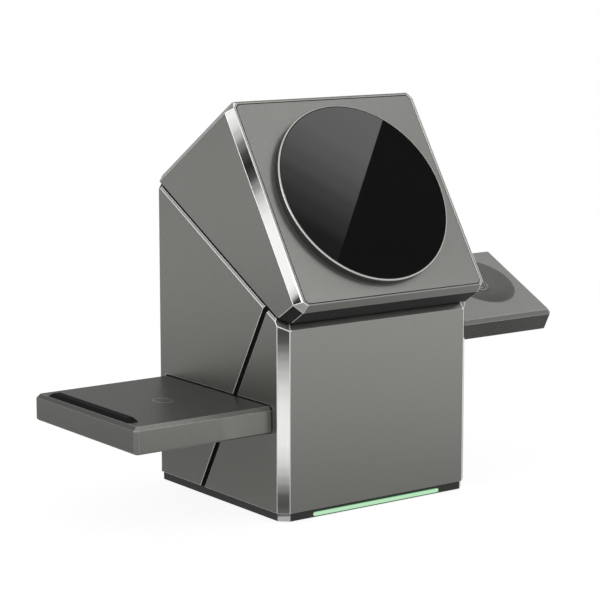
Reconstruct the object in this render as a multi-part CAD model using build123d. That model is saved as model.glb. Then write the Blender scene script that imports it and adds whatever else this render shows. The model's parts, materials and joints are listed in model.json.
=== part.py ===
from build123d import *
import os
from math import cos, radians, sin, tan

# Three in one wireless charger: a block cut aslant. The upper part, the head, turns on the
# lower part, the body, about an axis square to the cut. It is modelled turned half round, with
# its plate leaning back to hold a phone. An earbud tray is drawn out to the left and a watch
# tray to the right. Millimetres, floor at z 0, front towards -Y.

# The block, head closed
width = 67.0                # left to right
depth = 64.0                # front to back
cut_front_height = 55.6     # floor to the cut at the front face
head_front_height = 44.7    # cut to plate at the front face
cut_angle = 28.5            # slope of the cut, in degrees
cut_gap = 0.5               # open line between head and body
corner_side = 2.5           # reach of a corner flat along the side faces
corner_front = 2.6          # reach of a corner flat along the front and back faces
cut_bevel = 1.5             # bevel on the body's top edge, front and back
cut_side_bevel = 0.8        # and along its sides

# Head edges
plate_edge_flat = 1.75      # long side flats, measured across the plate
plate_edge_drop = 2.35      # and down the sides
nose_flat = 1.0             # lower edge of the plate, across the plate
nose_drop = 2.6             # and down the short wall
apex_flat = 0.8             # upper edge of the plate
corner_facet_inset = 0.6    # small facets at the plate's corners, in from its edge flats
head_cut_bevel = 0.3        # bevel round the head's bottom edge

# Walls
body_wall = 2.8
cavity_corner = 0.5
roof_thickness = 2.6
head_wall = 3.2
seat_gap = 0.05             # between pieces that are fixed to each other

# Swivel, along the axis square to the cut
shaft_radius = 8.0
shaft_bore_radius = 3.5
shaft_flange_radius = 14.0
shaft_flange_thickness = 2.0
shaft_running_gap = 0.06    # shaft in its bush, on the radius
bush_wall = 2.4
bush_flange_radius = 14.0
washer_thickness = 0.8
washer_reach = 4.5          # past the shaft, on the radius
clip_thickness = 0.8
clip_groove_depth = 0.8
clip_reach = 2.2
clip_ear_radius = 1.6
clip_ear_spread = 3.0
clip_mouth = 2.8
shaft_end_length = 0.5      # below the clip
shaft_screw_circle = 11.4
shaft_screw_count = 4

# Head base plate, which closes the head at the cut
head_plate_thickness = 2.4
head_plate_rim = 1.6        # housing left outside it
head_plate_corner = 2.0

# Head board, over the swivel and square to its axis
head_board_gap = 6.6
head_board_margin = 12.0    # from the block's sides
head_board_depth = 26.0
head_board_middle = -9.0    # towards the deep end of the head
head_board_thickness = 1.0
head_board_screw_length = 5.0
head_plug_height = 3.0
coil_lead_hole = 2.2
coil_lead_back = 14.0       # from the puck's middle

# Front panel, let into the plate
panel_side_lip = 1.0        # housing left between panel and the long side flats
panel_end_lip = 0.6         # and between panel, nose and apex
panel_thickness = 1.6
panel_gap = 0.2
panel_corner_radius = 1.4
panel_ledge = 1.5
panel_ledge_thickness = 1.6

# Phone puck
puck_margin = 4.4           # from the block's nearest side to the puck
puck_height = 2.4
puck_rim = 0.5              # metal edge seen round the glass
puck_wall = 1.1
puck_spigot_step = 1.5      # spigot under the flange, on the radius
glass_thickness = 0.8
magnet_width = 4.3
magnet_count = 16
magnet_gap_angle = 2.0      # between neighbouring magnets, in degrees
phone_coil_gap = 1.0        # inside the magnets
phone_coil_width = 12.0
coil_thickness = 1.4
ferrite_overhang = 0.5      # past the coil, on the radius
ferrite_thickness = 0.7
shield_thickness = 0.8
puck_screw_inset = 3.5      # from the puck's outside
puck_screw_count = 4

# Earbud tray, drawn out to the left
earbud_margin = 5.0         # from the block's front and back faces
earbud_thickness = 7.6
earbud_top_height = 32.3
earbud_hidden = 12.0        # length left inside the body when drawn out
earbud_lip = 5.5            # length that stays outside when pushed in
earbud_far_margin = 16.8    # from its inner end, pushed in, to the block's far side
earbud_coil_width = 10.5

# Watch tray, drawn out to the right
watch_thickness = 6.9
watch_tilt = 27.0
watch_margin = 7.1          # from the block's front face to its lower edge
watch_back_margin = 26.9    # from its upper edge to the block's back face
watch_drop = 7.75           # its lower edge, under the cut at the front face
watch_hidden = 10.0
watch_lip = 2.0
watch_far_margin = 19.9
dish_radius = 11.2
dish_depth = 1.3
dish_ring_radii = (0.9, 1.9, 2.9)
dish_ring_width = 0.3
dish_ring_depth = 0.15
dish_inset = 15.3           # dish centre, from the tray's outer end
dish_lift = 1.6             # dish centre, up the slope from the tray's middle
watch_coil_bore = 5.0

# Both trays
tray_skin = 1.4
tray_wall = 1.8
tray_base_thickness = 1.2
tray_bevel = 1.1
tray_corner_flat = 0.95
tray_bottom_bevel = 0.5
tray_gap = 0.35             # running gap all round
tray_ledge = 0.8            # seat of a tray's base in its cover, past the pocket's walls
tray_screw_gap = 0.4        # between a tray's wall and its screw heads
contact_inset = 4.0         # pins, from a tray's inner end
tray_board_reach = 6.0      # from the pins to the board's outer edge
tray_board_breadth = 15.0
pillar_radius = 1.6
earbud_pillar_circle = 15.0
watch_pillar_circle = 8.0
coil_rim = 1.4              # watch coil past the dish, on the radius
ferrite_rim = 0.4           # its ferrite past the coil
coil_end_gap = 0.6
tray_board_thickness = 0.8
guide_thickness = 1.2
guide_rim = 5.0             # left round the guides' windows
guide_window_gap = 6.0      # from the pins to the floor's window
guide_leg_inset = 9.0       # from the earbud tray's long sides
shelf_inset = 3.0           # shelves under the watch guide, from its tray's long sides
shelf_width = 6.0
shelf_thickness = 1.6
ear_reach = 3.0             # watch guide's ears: their screws past its end
ear_inset = 4.0             # and in from its tray's long sides
ear_half_width = 2.6
slot_radius = 1.6
contact_pin_radius = 0.5
contact_pitch = 2.0
contact_count = 4
contact_gap = 0.05
contact_block_height = 2.2

# Stop strip on the earbud tray
strip_inset = 1.1           # from the tray's outer end
strip_width = 3.4
strip_height = 1.1
strip_end_margin = 5.7      # from the tray's front and back
strip_side_slope = 0.6      # how far the sides lean in
strip_end_slope = 1.9       # and the ends

# Side grooves and their black inlays
groove_width = 1.9
groove_depth = 1.2
groove_inlay = 0.7
groove_top_margin = 7.6     # from the block's front face to the groove, at the cut
groove_foot_margin = 39.7   # and at the base

# Base
base_height = 2.6
base_inset = 0.45
plinth_height = 1.2         # raised part of the base, inside the body
foot_proud = 0.3
foot_thickness = 1.0
foot_side_margin = 5.0
foot_front_margin = 6.0
foot_corner = 7.0
light_margin = 11.0         # from the block's sides
light_height = 1.2
light_depth = 2.45
light_middle_height = 1.15
led_board_thickness = 0.8
led_board_height = 3.6
led_count = 12
led_size = 0.6

# Main board and inlet
board_thickness = 1.2
board_height = 7.0
board_left_margin = 12.0    # from the block's left face
board_right_margin = 10.0
board_front_margin = 26.0
board_back_margin = 3.8
inlet_width = 8.94
inlet_height = 3.26
inlet_length = 8.4
inlet_shell = 0.35
inlet_gap = 0.3
tongue_width = 6.7
tongue_thickness = 0.7
lead_radius = 1.1
plug_height = 4.0
plug_size = 4.4
plug_inset = 3.0            # from the board's side edge
head_plug_back = 13.2       # from the board's back edge
tray_plug_front = 6.5       # forward of the board's middle

# Fasteners
screw_radius = 1.0
screw_head_radius = 1.9
screw_head_height = 0.8
screw_hole_gap = 0.1        # round the shank where it passes through, on the radius
screw_head_gap = 0.15       # round the head where it is sunk
base_screw_length = 9.0
head_screw_length = 4.4
board_screw_length = 3.6
shaft_screw_end = 0.6       # short of the head base plate's underside
puck_screw_bite = 0.95      # into the puck's floor
ear_screw_bite = 3.6
head_boss_radius = 2.6
head_boss_tall = 12.0       # at the deep end of the head
head_boss_short = 4.0       # at its thin end
head_screw_hole = 3.4       # depth of the holes in them
boss_radius = 3.4
boss_top = 14.0
leg_radius = 2.0

# Worked out from the sizes above
slope = radians(cut_angle)
closed_height = cut_front_height + head_front_height
puck_radius = min(width, depth) / 2 - puck_margin
puck_spigot_radius = puck_radius - puck_spigot_step
magnet_outer_radius = puck_radius - puck_wall - 0.15
magnet_inner_radius = magnet_outer_radius - magnet_width
phone_coil_radius = magnet_inner_radius - phone_coil_gap
phone_coil_bore = phone_coil_radius - phone_coil_width
ferrite_radius = phone_coil_radius + ferrite_overhang
shield_radius = puck_radius
puck_screw_circle = puck_radius - puck_screw_inset
earbud_breadth = depth - 2 * earbud_margin
earbud_reach = width - earbud_far_margin - earbud_hidden + earbud_lip
earbud_coil_out = (earbud_reach - strip_inset - strip_width) / 2
earbud_coil_radius = earbud_coil_out - coil_end_gap
earbud_coil_bore = earbud_coil_radius - earbud_coil_width
strip_length = earbud_breadth - 2 * strip_end_margin
watch_reach = width - watch_far_margin - watch_hidden + watch_lip
dish_out = watch_reach - dish_inset
groove_top_back = groove_top_margin - depth / 2
groove_foot_back = groove_foot_margin - depth / 2
foot_width = width - 2 * foot_side_margin
foot_depth = depth - 2 * foot_front_margin
light_length = width - 2 * light_margin
head_board_width = width - 2 * head_board_margin
watch_front = watch_margin - depth / 2
watch_breadth = (depth - watch_margin - watch_back_margin) / cos(radians(watch_tilt))
dish_up = watch_breadth / 2 + dish_lift
watch_top_height = cut_front_height - watch_drop
board_left = board_left_margin - width / 2
board_right = width / 2 - board_right_margin
board_front = board_front_margin - depth / 2
board_back = depth / 2 - board_back_margin
head_plug = (board_right - plug_inset, board_back - head_plug_back)
tray_plug_y = (board_front + board_back) / 2 - tray_plug_front
watch_plug = (board_right - plug_inset, tray_plug_y)
earbud_plug = (board_left + plug_inset, tray_plug_y)
cut_middle = cut_front_height + depth / 2 * tan(slope)
axis_direction = (0, -sin(slope), cos(slope))
swivel_axis = Axis((0, 0, cut_middle), axis_direction)
cut_plane = Plane((0, 0, cut_middle), x_dir=(1, 0, 0), z_dir=axis_direction)
body_top = -cut_gap / 2
body_roof = body_top - roof_thickness
head_bottom = cut_gap / 2
head_floor = head_bottom + head_plate_thickness
base_bottom = foot_proud
base_floor = base_height + plinth_height
board_top = board_height + board_thickness
inlet_middle = board_top + inlet_height / 2
glass_bottom = closed_height + puck_height - glass_thickness
block_middle = Vector(0, 0, cut_middle)


def block_outline(inset=0.0):
    half_width = width / 2 - inset
    half_depth = depth / 2 - inset
    quarter = [
        (half_width, half_depth - corner_side),
        (half_width - corner_front, half_depth),
    ]
    mirrored = [(-x, y) for x, y in reversed(quarter)]
    upper = quarter + mirrored
    lower = [(-x, -y) for x, y in upper]
    return Polygon(*upper, *lower, align=None)


def cavity_outline(wall, corner):
    return RectangleRounded(width - 2 * wall, depth - 2 * wall, corner)


def column(outline, bottom, top):
    return Pos(0, 0, bottom) * extrude(outline, amount=top - bottom)


def below_cut(shape, level):
    return split(shape, bisect_by=cut_plane.offset(level), keep=Keep.BOTTOM)


def above_cut(shape, level):
    return split(shape, bisect_by=cut_plane.offset(level), keep=Keep.TOP)


def trimmed(shape, first, second, third):
    # Keeps what lies on the block's side of the plane through three points
    start = Vector(*first)
    normal = (Vector(*second) - start).cross(Vector(*third) - start)
    if normal.dot(start - block_middle) < 0:
        normal = normal * -1
    return split(shape, bisect_by=Plane(start, z_dir=normal), keep=Keep.BOTTOM)


def on_cut(x, y, level):
    # A place in the cut plane's own coordinates
    return cut_plane.from_local_coords((x, y, level))


def opened(shape):
    # The head is drawn closed and turned half round on its axis
    return shape.rotate(swivel_axis, 180)


def along_axis(radius, bottom, top):
    return cut_plane.offset(bottom) * Cylinder(
        radius, top - bottom, align=(Align.CENTER, Align.CENTER, Align.MIN)
    )


def ring(outer, inner, bottom, top):
    solid = Cylinder(outer, top - bottom, align=(Align.CENTER, Align.CENTER, Align.MIN))
    hole = Cylinder(inner, top - bottom, align=(Align.CENTER, Align.CENTER, Align.MIN))
    return Pos(0, 0, bottom) * (solid - hole)


def post(x, y, radius, bottom, top):
    return Pos(x, y, bottom) * Cylinder(
        radius, top - bottom, align=(Align.CENTER, Align.CENTER, Align.MIN)
    )


def screw(length):
    # Head down at z 0, shank up
    head = Cylinder(
        screw_head_radius, screw_head_height, align=(Align.CENTER, Align.CENTER, Align.MIN)
    )
    head = chamfer(head.edges().sort_by(Axis.Z)[0], screw_head_height / 4)
    shank = Cylinder(screw_radius, length, align=(Align.CENTER, Align.CENTER, Align.MIN))
    socket = extrude(RegularPolygon(screw_head_radius / 2, 6), amount=screw_head_height / 2)
    return head + Pos(0, 0, screw_head_height) * shank - socket


def save(name, shape):
    solids = shape.solids()
    piece = solids[0] if len(solids) == 1 else Compound(solids)
    piece.label = name
    export_step(piece, f"parts/{name}.step")


# Trays. Each has a frame of its own: x as on the whole object, y up its slope from the lower
# edge, z square to its top, which is at 0.

class Tray:
    def __init__(self, side, breadth, thickness, tilt, front, top, reach, hidden, lip):
        self.lean = radians(tilt)
        self.side = side
        self.breadth = breadth
        self.thickness = thickness
        self.outer = side * (width / 2 + reach)
        self.inner = side * (width / 2 - hidden)
        self.travel = reach - lip
        self.stowed_inner = self.inner - side * self.travel
        self.frame = Plane(
            (0, front, top), x_dir=(1, 0, 0), z_dir=(0, -sin(self.lean), cos(self.lean))
        )

    def slab(self, near, far, front, back, bottom, top):
        # A block between two places along x, in the tray's frame
        low, high = sorted((near, far))
        size = (high - low, back - front, top - bottom)
        middle = ((low + high) / 2, (front + back) / 2, (bottom + top) / 2)
        return Pos(*middle) * Box(*size)

    def in_from(self, outer_distance):
        return self.outer - self.side * outer_distance


earbud = Tray(
    -1, earbud_breadth, earbud_thickness, 0.0, -earbud_breadth / 2, earbud_top_height,
    earbud_reach, earbud_hidden, earbud_lip,
)
watch = Tray(
    1, watch_breadth, watch_thickness, watch_tilt, watch_front, watch_top_height,
    watch_reach, watch_hidden, watch_lip,
)


def tray_block(tray):
    block = tray.slab(tray.outer, tray.inner, 0, tray.breadth, -tray.thickness, 0)
    outer_face = block.faces().sort_by(Axis.X)[0 if tray.side < 0 else -1]
    corners = outer_face.edges().filter_by(Axis.Z)
    block = chamfer(corners, tray_corner_flat)
    inner_edges = block.faces().sort_by(Axis.X)[-1 if tray.side < 0 else 0].edges()
    top_edges = block.faces().sort_by(Axis.Z)[-1].edges() - inner_edges
    block = chamfer(top_edges, tray_bevel)
    inner_edges = block.faces().sort_by(Axis.X)[-1 if tray.side < 0 else 0].edges()
    bottom_edges = block.faces().sort_by(Axis.Z)[0].edges() - inner_edges
    return chamfer(bottom_edges, tray_bottom_bevel)


def tray_pocket(tray, grow, bottom, top):
    return tray.slab(
        tray.in_from(tray_wall - grow), tray.inner + tray.side * (tray_wall - grow),
        tray_wall - grow, tray.breadth - tray_wall + grow, bottom, top,
    )


def tray_screw_places(tray):
    inset = tray_wall + screw_head_radius + tray_screw_gap
    xs = (tray.in_from(inset), tray.inner + tray.side * inset)
    return [(x, y) for x in xs for y in (inset, tray.breadth - inset)]


def tray_base_top(tray):
    return -tray.thickness + tray_base_thickness


def tray_cover(tray):
    cover = tray_block(tray)
    cover -= tray_pocket(tray, 0, -tray.thickness, -tray_skin)
    cover -= tray_pocket(tray, tray_ledge, -tray.thickness, tray_base_top(tray))
    for x, y in tray_screw_places(tray):
        boss = post(x, y, screw_head_radius, tray_base_top(tray) + seat_gap, -tray_skin)
        hole = post(
            x, y, screw_radius + seat_gap, tray_base_top(tray), -tray_skin - 0.4
        )
        cover = cover + boss - hole
    return cover


def tray_base(tray):
    base = tray_pocket(
        tray, tray_ledge - seat_gap, -tray.thickness, tray_base_top(tray) - seat_gap
    )
    for x, y in tray_screw_places(tray):
        base -= post(x, y, screw_radius + screw_hole_gap, -tray.thickness, -tray_skin)
        base -= post(
            x, y, screw_head_radius + screw_head_gap, -tray.thickness - 1,
            -tray.thickness + screw_head_height,
        )
    for y in contact_rows(tray):
        base -= post(contact_x(tray), y, contact_pin_radius + 0.3, -tray.thickness - 1, 0)
    return base


def tray_screws(tray):
    length = tray.thickness - tray_skin - screw_head_height - 0.5
    screws = [Pos(x, y, -tray.thickness) * screw(length) for x, y in tray_screw_places(tray)]
    return Compound(screws)


def contact_x(tray):
    return tray.inner + tray.side * contact_inset


def contact_rows(tray):
    middle = tray.breadth / 2
    first = middle - contact_pitch * (contact_count - 1) / 2
    return [first + contact_pitch * i for i in range(contact_count)]


def tray_board(tray):
    # Lies on the base and carries the pads that the guide's pins press on
    bottom = tray_base_top(tray)
    middle = tray.breadth / 2
    board = tray.slab(
        tray.inner + tray.side * (tray_wall + 0.3), contact_x(tray) + tray.side * tray_board_reach,
        middle - tray_board_breadth / 2, middle + tray_board_breadth / 2, bottom,
        bottom + tray_board_thickness,
    )
    for y in contact_rows(tray):
        board += post(
            contact_x(tray), y, contact_pin_radius + 0.2, -tray.thickness, bottom
        )
    chip = tray.slab(
        contact_x(tray) + tray.side * 1.5, contact_x(tray) + tray.side * 4.5,
        middle - 2.0, middle + 2.0, bottom + tray_board_thickness,
        bottom + tray_board_thickness + 0.9,
    )
    return board + chip


def guide_bounds(tray):
    wall_inside = tray.side * (width / 2 - body_wall - 0.1)
    end_inside = tray.stowed_inner - tray.side * tray_gap
    return wall_inside, end_inside


def tray_guide(tray):
    # A sleeve behind the body's side wall, open at its mouth and closed at its inner end
    mouth, end = guide_bounds(tray)
    end_outside = end - tray.side * guide_thickness
    grow = tray_gap + guide_thickness
    guide = tray.slab(
        mouth, end_outside, -grow, tray.breadth + grow, -tray.thickness - grow, grow
    )
    guide -= tray.slab(
        mouth + tray.side, end, -tray_gap, tray.breadth + tray_gap,
        -tray.thickness - tray_gap, tray_gap,
    )
    # Windows in the roof and the floor
    rim = guide_rim
    low, high = sorted((mouth, end))
    guide -= tray.slab(low + rim, high - rim, rim, tray.breadth - rim, 0, grow + 1)
    for y in contact_rows(tray):
        guide -= post(
            contact_x(tray), y, contact_pin_radius + seat_gap, -tray.thickness - grow - 1, -1
        )
    # The pins' lower ends stand in a block under the floor
    floor_window = tray.slab(
        contact_x(tray) - tray.side * guide_window_gap, end + tray.side * rim, rim, tray.breadth - rim,
        -tray.thickness - grow - 1, -tray.thickness,
    )
    return guide - floor_window


def under_guide(tray):
    return -tray.thickness - tray_gap - guide_thickness - seat_gap


def contact_block_bottom(tray):
    return under_guide(tray) - contact_block_height


def contact_block(tray):
    top = under_guide(tray)
    bottom = contact_block_bottom(tray)
    middle = tray.breadth / 2
    half = contact_pitch * contact_count / 2 + 0.6
    block = tray.slab(
        contact_x(tray) - 1.6, contact_x(tray) + 1.6, middle - half, middle + half, bottom, top
    )
    for y in contact_rows(tray):
        block -= post(contact_x(tray), y, contact_pin_radius + 0.02, bottom, top)
    return block


def contact_pins(tray):
    top = -tray.thickness - contact_gap
    bottom = contact_block_bottom(tray)
    pins = []
    for y in contact_rows(tray):
        pin = post(contact_x(tray), y, contact_pin_radius, bottom, top)
        pins.append(chamfer(pin.edges().sort_by(Axis.Z)[-1], contact_pin_radius / 2))
    return Compound(pins)


def slot_cutter(tray):
    # The opening in the body's side wall
    section = Plane((0, 0, 0), x_dir=(0, 1, 0), z_dir=(1, 0, 0))
    outline = Pos(tray.breadth / 2, -tray.thickness / 2) * RectangleRounded(
        tray.breadth + 2 * tray_gap, tray.thickness + 2 * tray_gap, slot_radius
    )
    bar = extrude(section * outline, amount=body_wall + 4)
    start = width / 2 - body_wall - 2 if tray.side > 0 else -width / 2 - 2
    return tray.frame * (Pos(start, 0, 0) * bar)


# Body

def groove_line():
    # The side groove's middle line on a side face, as (y, z) points beyond both its ends
    top_z = cut_front_height + (groove_top_back + depth / 2) * tan(slope)
    lean = (groove_top_back - groove_foot_back) / (top_z - base_height)
    over = 6.0
    foot = (groove_foot_back - lean * over, base_height - over)
    top = (groove_top_back + lean * over, top_z + over)
    return foot, top


def groove_bar(side, inner_depth, outer_depth, breadth):
    # A bar along the groove, between two depths under the side face
    foot, top = groove_line()
    strip = Plane.YZ * trace(Line(foot, top), line_width=breadth)
    bar = extrude(strip, amount=inner_depth - outer_depth)
    start = width / 2 - inner_depth if side > 0 else -width / 2 + outer_depth
    return Pos(start, 0, 0) * bar


def outer_body():
    body = below_cut(column(block_outline(), base_height, closed_height), body_top)
    roof = body.faces().sort_by(swivel_axis)[-1]
    long_edges = roof.edges().filter_by(lambda edge: abs(edge.center().X) < width / 2 - seat_gap)
    body = chamfer(long_edges, cut_bevel)
    half = width / 2
    for side in (-1, 1):
        body = trimmed(
            body,
            on_cut(side * (half - cut_side_bevel), 0, body_top),
            on_cut(side * half, 0, body_top - cut_side_bevel),
            on_cut(side * half, 1, body_top - cut_side_bevel),
        )
    return body


def base_screw_places():
    x = width / 2 - body_wall - 3.0
    y = depth / 2 - body_wall - 3.0
    return [(sx * x, sy * y) for sx in (-1, 1) for sy in (-1, 1)]


def watch_ear_places():
    end = guide_bounds(watch)[1] - watch.side * guide_thickness
    return [(end - watch.side * ear_reach, y) for y in (ear_inset, watch_breadth - ear_inset)]


def body_housing():
    outer = outer_body()
    cavity = column(cavity_outline(body_wall, cavity_corner), 0, closed_height)
    body = outer - below_cut(cavity, body_roof)
    for x, y in base_screw_places():
        boss = post(x, y, boss_radius, base_height, boss_top)
        body += boss & outer
        body -= post(x, y, screw_radius + seat_gap, base_height, boss_top - 2)
    for x, y in watch_ear_places():
        ear_top = tray_gap + guide_thickness + seat_gap
        boss = watch.frame * post(x, y, screw_head_radius, ear_top, 20)
        body += boss & outer
        body -= watch.frame * post(x, y, screw_radius + seat_gap, ear_top, ear_top + 4)
    shelf_top = under_guide(watch)
    shelf_start = width / 2 - body_wall - 3.0
    for front in (shelf_inset, watch_breadth - shelf_inset - shelf_width):
        body += watch.frame * watch.slab(
            shelf_start, width / 2 - 0.5, front, front + shelf_width,
            shelf_top - shelf_thickness, shelf_top,
        )
    body -= along_axis(shaft_radius + shaft_running_gap + bush_wall, body_roof - 1, 1)
    body -= slot_cutter(earbud)
    body -= slot_cutter(watch)
    for side in (-1, 1):
        body -= groove_bar(side, groove_depth, -1, groove_width)
    inlet = RectangleRounded(
        inlet_width + 2 * inlet_gap, inlet_height + 2 * inlet_gap, inlet_height / 2
    )
    inlet_hole = extrude(Plane.XZ.offset(-depth / 2 - 1) * inlet, amount=body_wall + 2)
    return body - Pos(0, 0, inlet_middle) * inlet_hole


def groove_inlay_strip(side):
    bar = groove_bar(side, groove_depth, groove_depth - groove_inlay, groove_width - 2 * seat_gap)
    strip = bar & outer_body()
    return strip - slot_cutter(earbud) - slot_cutter(watch)


# Base

def guide_leg_places():
    end = guide_bounds(earbud)[1]
    mouth = 8.0 - width / 2
    half = earbud_breadth / 2 - guide_leg_inset
    return [(mouth, -half), (mouth, half), (end - 3.0, 4.0 - half), (end - 3.0, half + 1.0)]


def light_outline(grow=0.0):
    return SlotOverall(light_length + 2 * grow, light_height + 2 * grow)


def light_bar_solid(grow=0.0):
    # Grown, it also reaches out through the skirt, to cut the bar's seat
    outward = 1.0 if grow else 0.0
    start = Plane.XZ.offset(depth / 2 - base_inset + outward)
    bar = extrude(start * light_outline(grow), amount=-(light_depth + outward))
    return Pos(0, 0, light_middle_height) * bar


def led_board_front():
    return -depth / 2 + base_inset + light_depth + seat_gap + led_size + 0.1


def base_cover():
    base = column(block_outline(base_inset), base_bottom, base_height)
    plinth = column(cavity_outline(body_wall + 0.2, cavity_corner), base_height, base_floor)
    for x, y in base_screw_places():
        plinth -= post(x, y, boss_radius + 0.2, 0, boss_top)
    base += plinth
    pad = RectangleRounded(foot_width + 0.2, foot_depth + 0.2, foot_corner)
    base -= column(pad, 0, foot_thickness)
    for x, y in base_screw_places() + guide_leg_places():
        base -= post(x, y, screw_head_radius + screw_head_gap, 0, foot_thickness + screw_head_height)
        base -= post(x, y, screw_radius + screw_hole_gap, 0, base_floor + 1)
    base -= light_bar_solid(seat_gap)
    front = led_board_front()
    pocket = Box(light_length + 1.2, led_board_thickness + led_size + 0.3, base_floor * 2)
    pocket_middle = front + (led_board_thickness - led_size) / 2 + 0.05
    base -= Pos(0, pocket_middle, base_bottom + 0.5 + base_floor) * pocket
    for x, y in board_screw_places():
        base += post(x, y, screw_head_radius, base_floor, board_height)
        base -= post(x, y, screw_radius + seat_gap, base_floor, board_height)
    return base


def foot_pad():
    pad = column(RectangleRounded(foot_width, foot_depth, foot_corner), 0, foot_thickness)
    pad = chamfer(pad.faces().sort_by(Axis.Z)[0].edges(), foot_proud)
    return pad


def upright_screws(places, bottom, length):
    return Compound([Pos(x, y, bottom) * screw(length) for x, y in places])


def light_board():
    front = led_board_front()
    low = 1.0
    board = Pos(0, front + led_board_thickness / 2, low + led_board_height / 2) * Box(
        light_length, led_board_thickness, led_board_height
    )
    pitch = light_length / led_count
    for i in range(led_count):
        x = -light_length / 2 + pitch * (i + 0.5)
        board += Pos(x, front - led_size / 2, light_middle_height + 0.1) * Box(1.6, led_size, 0.8)
    return board


# Main board

def board_screw_places():
    left = board_left + 3
    right = board_right - 3
    front = board_front + 3
    back = board_back - 3.2
    return [(left, front), (right, front), (left, back), (right, back)]


def main_board():
    middle_x = (board_left + board_right) / 2
    middle_y = (board_front + board_back) / 2
    outline = Pos(middle_x, middle_y) * Rectangle(board_right - board_left, board_back - board_front)
    board = column(outline, board_height, board_top)
    board = chamfer(board.edges().filter_by(Axis.Z), 1.0)
    for x, y in board_screw_places():
        board -= post(x, y, screw_radius + screw_hole_gap, 0, board_top)
    for x, y in guide_leg_places():
        board -= post(x, y, leg_radius + 0.5, 0, board_top)
    return board


def main_board_screws():
    one = Pos(0, 0, board_top + screw_head_height) * Rot(180, 0, 0) * screw(board_screw_length)
    return Compound([Pos(x, y, 0) * one for x, y in board_screw_places()])


def plug_top(place):
    return Vector(place[0], place[1], board_top + plug_height + seat_gap)


def board_parts():
    def chip(x, y, length, breadth, height):
        return Pos(x, y, board_top + height / 2) * Box(length, breadth, height)

    left = board_left
    back = board_back
    inductor = chip(left + 10.0, back - 14.2, 7.0, 7.0, 4.2)
    inductor = chamfer(inductor.edges().filter_by(Axis.Z), 1.2)
    parts = [
        inductor,
        chip(left + 19.0, back - 13.2, 3.0, 5.0, 2.0),
        chip(left + 20.0, back - 25.2, 6.0, 6.0, 0.9),
        chip(left + 12.0, back - 25.2, 5.0, 5.0, 0.9),
        chip(left + 28.0, back - 20.2, 4.0, 4.0, 0.9),
        post(-inlet_width / 2 - 2.4, back - 5.2, 1.8, board_top, board_top + 6.0),
        post(-inlet_width / 2 - 6.4, back - 5.2, 1.8, board_top, board_top + 6.0),
    ]
    for x, y in (head_plug, earbud_plug, watch_plug):
        parts.append(chip(x, y, plug_size, plug_size, plug_height))
    return Compound(parts)


def usb_socket():
    outline = RectangleRounded(inlet_width, inlet_height, inlet_height / 2 - 0.05)
    hollow = RectangleRounded(
        inlet_width - 2 * inlet_shell, inlet_height - 2 * inlet_shell,
        inlet_height / 2 - inlet_shell - 0.05,
    )
    tongue = RectangleRounded(tongue_width, tongue_thickness, 0.2)
    mouth = Plane.XZ.offset(-depth / 2 + 0.15)
    shell = extrude(mouth * outline, amount=inlet_length)
    shell -= extrude(mouth * hollow, amount=inlet_length - 1.2)
    shell += extrude(mouth.offset(0.9) * tongue, amount=inlet_length - 1.2)
    return Pos(0, 0, inlet_middle) * shell


# Lead from the main board, up through the hollow shaft, to the head's board

def on_axis(level):
    return Vector(*swivel_axis.position) + Vector(*axis_direction) * level


def lead(points):
    radii = []
    for before, corner, after in zip(points, points[1:], points[2:]):
        into = corner - before
        out = after - corner
        half_turn = radians(into.get_angle(out) / 2)
        radii.append(0.45 * min(into.length, out.length) / tan(half_turn))
    path = FilletPolyline(*points, radius=radii)
    profile = Plane(origin=path @ 0, z_dir=path % 0) * Circle(lead_radius)
    return sweep(profile, path=path)


def head_lead():
    return lead([
        on_axis(shaft_flange_thickness + head_floor + 1.0),
        on_axis(-7.9),
        on_axis(-7.9) + Vector(head_plug[0] / 3, 9.7, -0.5),
        Vector(head_plug[0], head_plug[1], cut_middle - 16.4),
        plug_top(head_plug),
    ])


def phone_coil_lead():
    # From the coil down through the puck's floor to a plug on the head board
    board_top_level = head_floor + head_board_gap + head_board_thickness
    return lead([
        Vector(0, coil_lead_back, closed_height + 0.05),
        Vector(0, coil_lead_back, closed_height - 6.5),
        on_axis(board_top_level + head_plug_height + 5.6),
        on_axis(board_top_level + head_plug_height + seat_gap),
    ])


def contact_lead(tray, plug):
    # From under a contact block down to its plug on the main board
    below = contact_block_bottom(tray) - seat_gap - lead_radius * sin(tray.lean)
    start = (tray.frame * Pos(contact_x(tray), tray.breadth / 2, below)).position
    end = plug_top(plug)
    turn = end.Z + 5.0
    return lead([start, Vector(start.X, start.Y, turn), Vector(end.X, end.Y, turn - 1.0), end])


# Guides

def earbud_guide():
    guide = earbud.frame * tray_guide(earbud)
    floor = earbud_top_height - earbud_thickness - tray_gap - guide_thickness
    for x, y in guide_leg_places():
        guide += post(x, y, leg_radius, base_floor + seat_gap, floor + guide_thickness)
        guide -= post(x, y, screw_radius + seat_gap, base_floor, floor - 4)
    return guide


def watch_guide():
    guide = tray_guide(watch)
    ear_bottom = tray_gap
    ear_top = tray_gap + guide_thickness
    for x, y in watch_ear_places():
        near = guide_bounds(watch)[1]
        guide += watch.slab(
            near, x - watch.side * 2.4, y - ear_half_width, y + ear_half_width, ear_bottom, ear_top
        )
        guide -= post(x, y, screw_radius + screw_hole_gap, -1, ear_top + 1)
    return watch.frame * guide


def watch_guide_screws():
    length = guide_thickness + ear_screw_bite
    screws = [
        Pos(x, y, tray_gap - screw_head_height) * screw(length)
        for x, y in watch_ear_places()
    ]
    return watch.frame * Compound(screws)


# Swivel

def swivel_bush():
    bore = shaft_radius + shaft_running_gap
    sleeve = along_axis(bore + bush_wall - seat_gap, body_roof, body_top)
    flange = along_axis(bush_flange_radius, body_top, head_bottom - 0.03)
    return sleeve + flange - along_axis(bore, body_roof - 1, head_bottom + 1)


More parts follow.
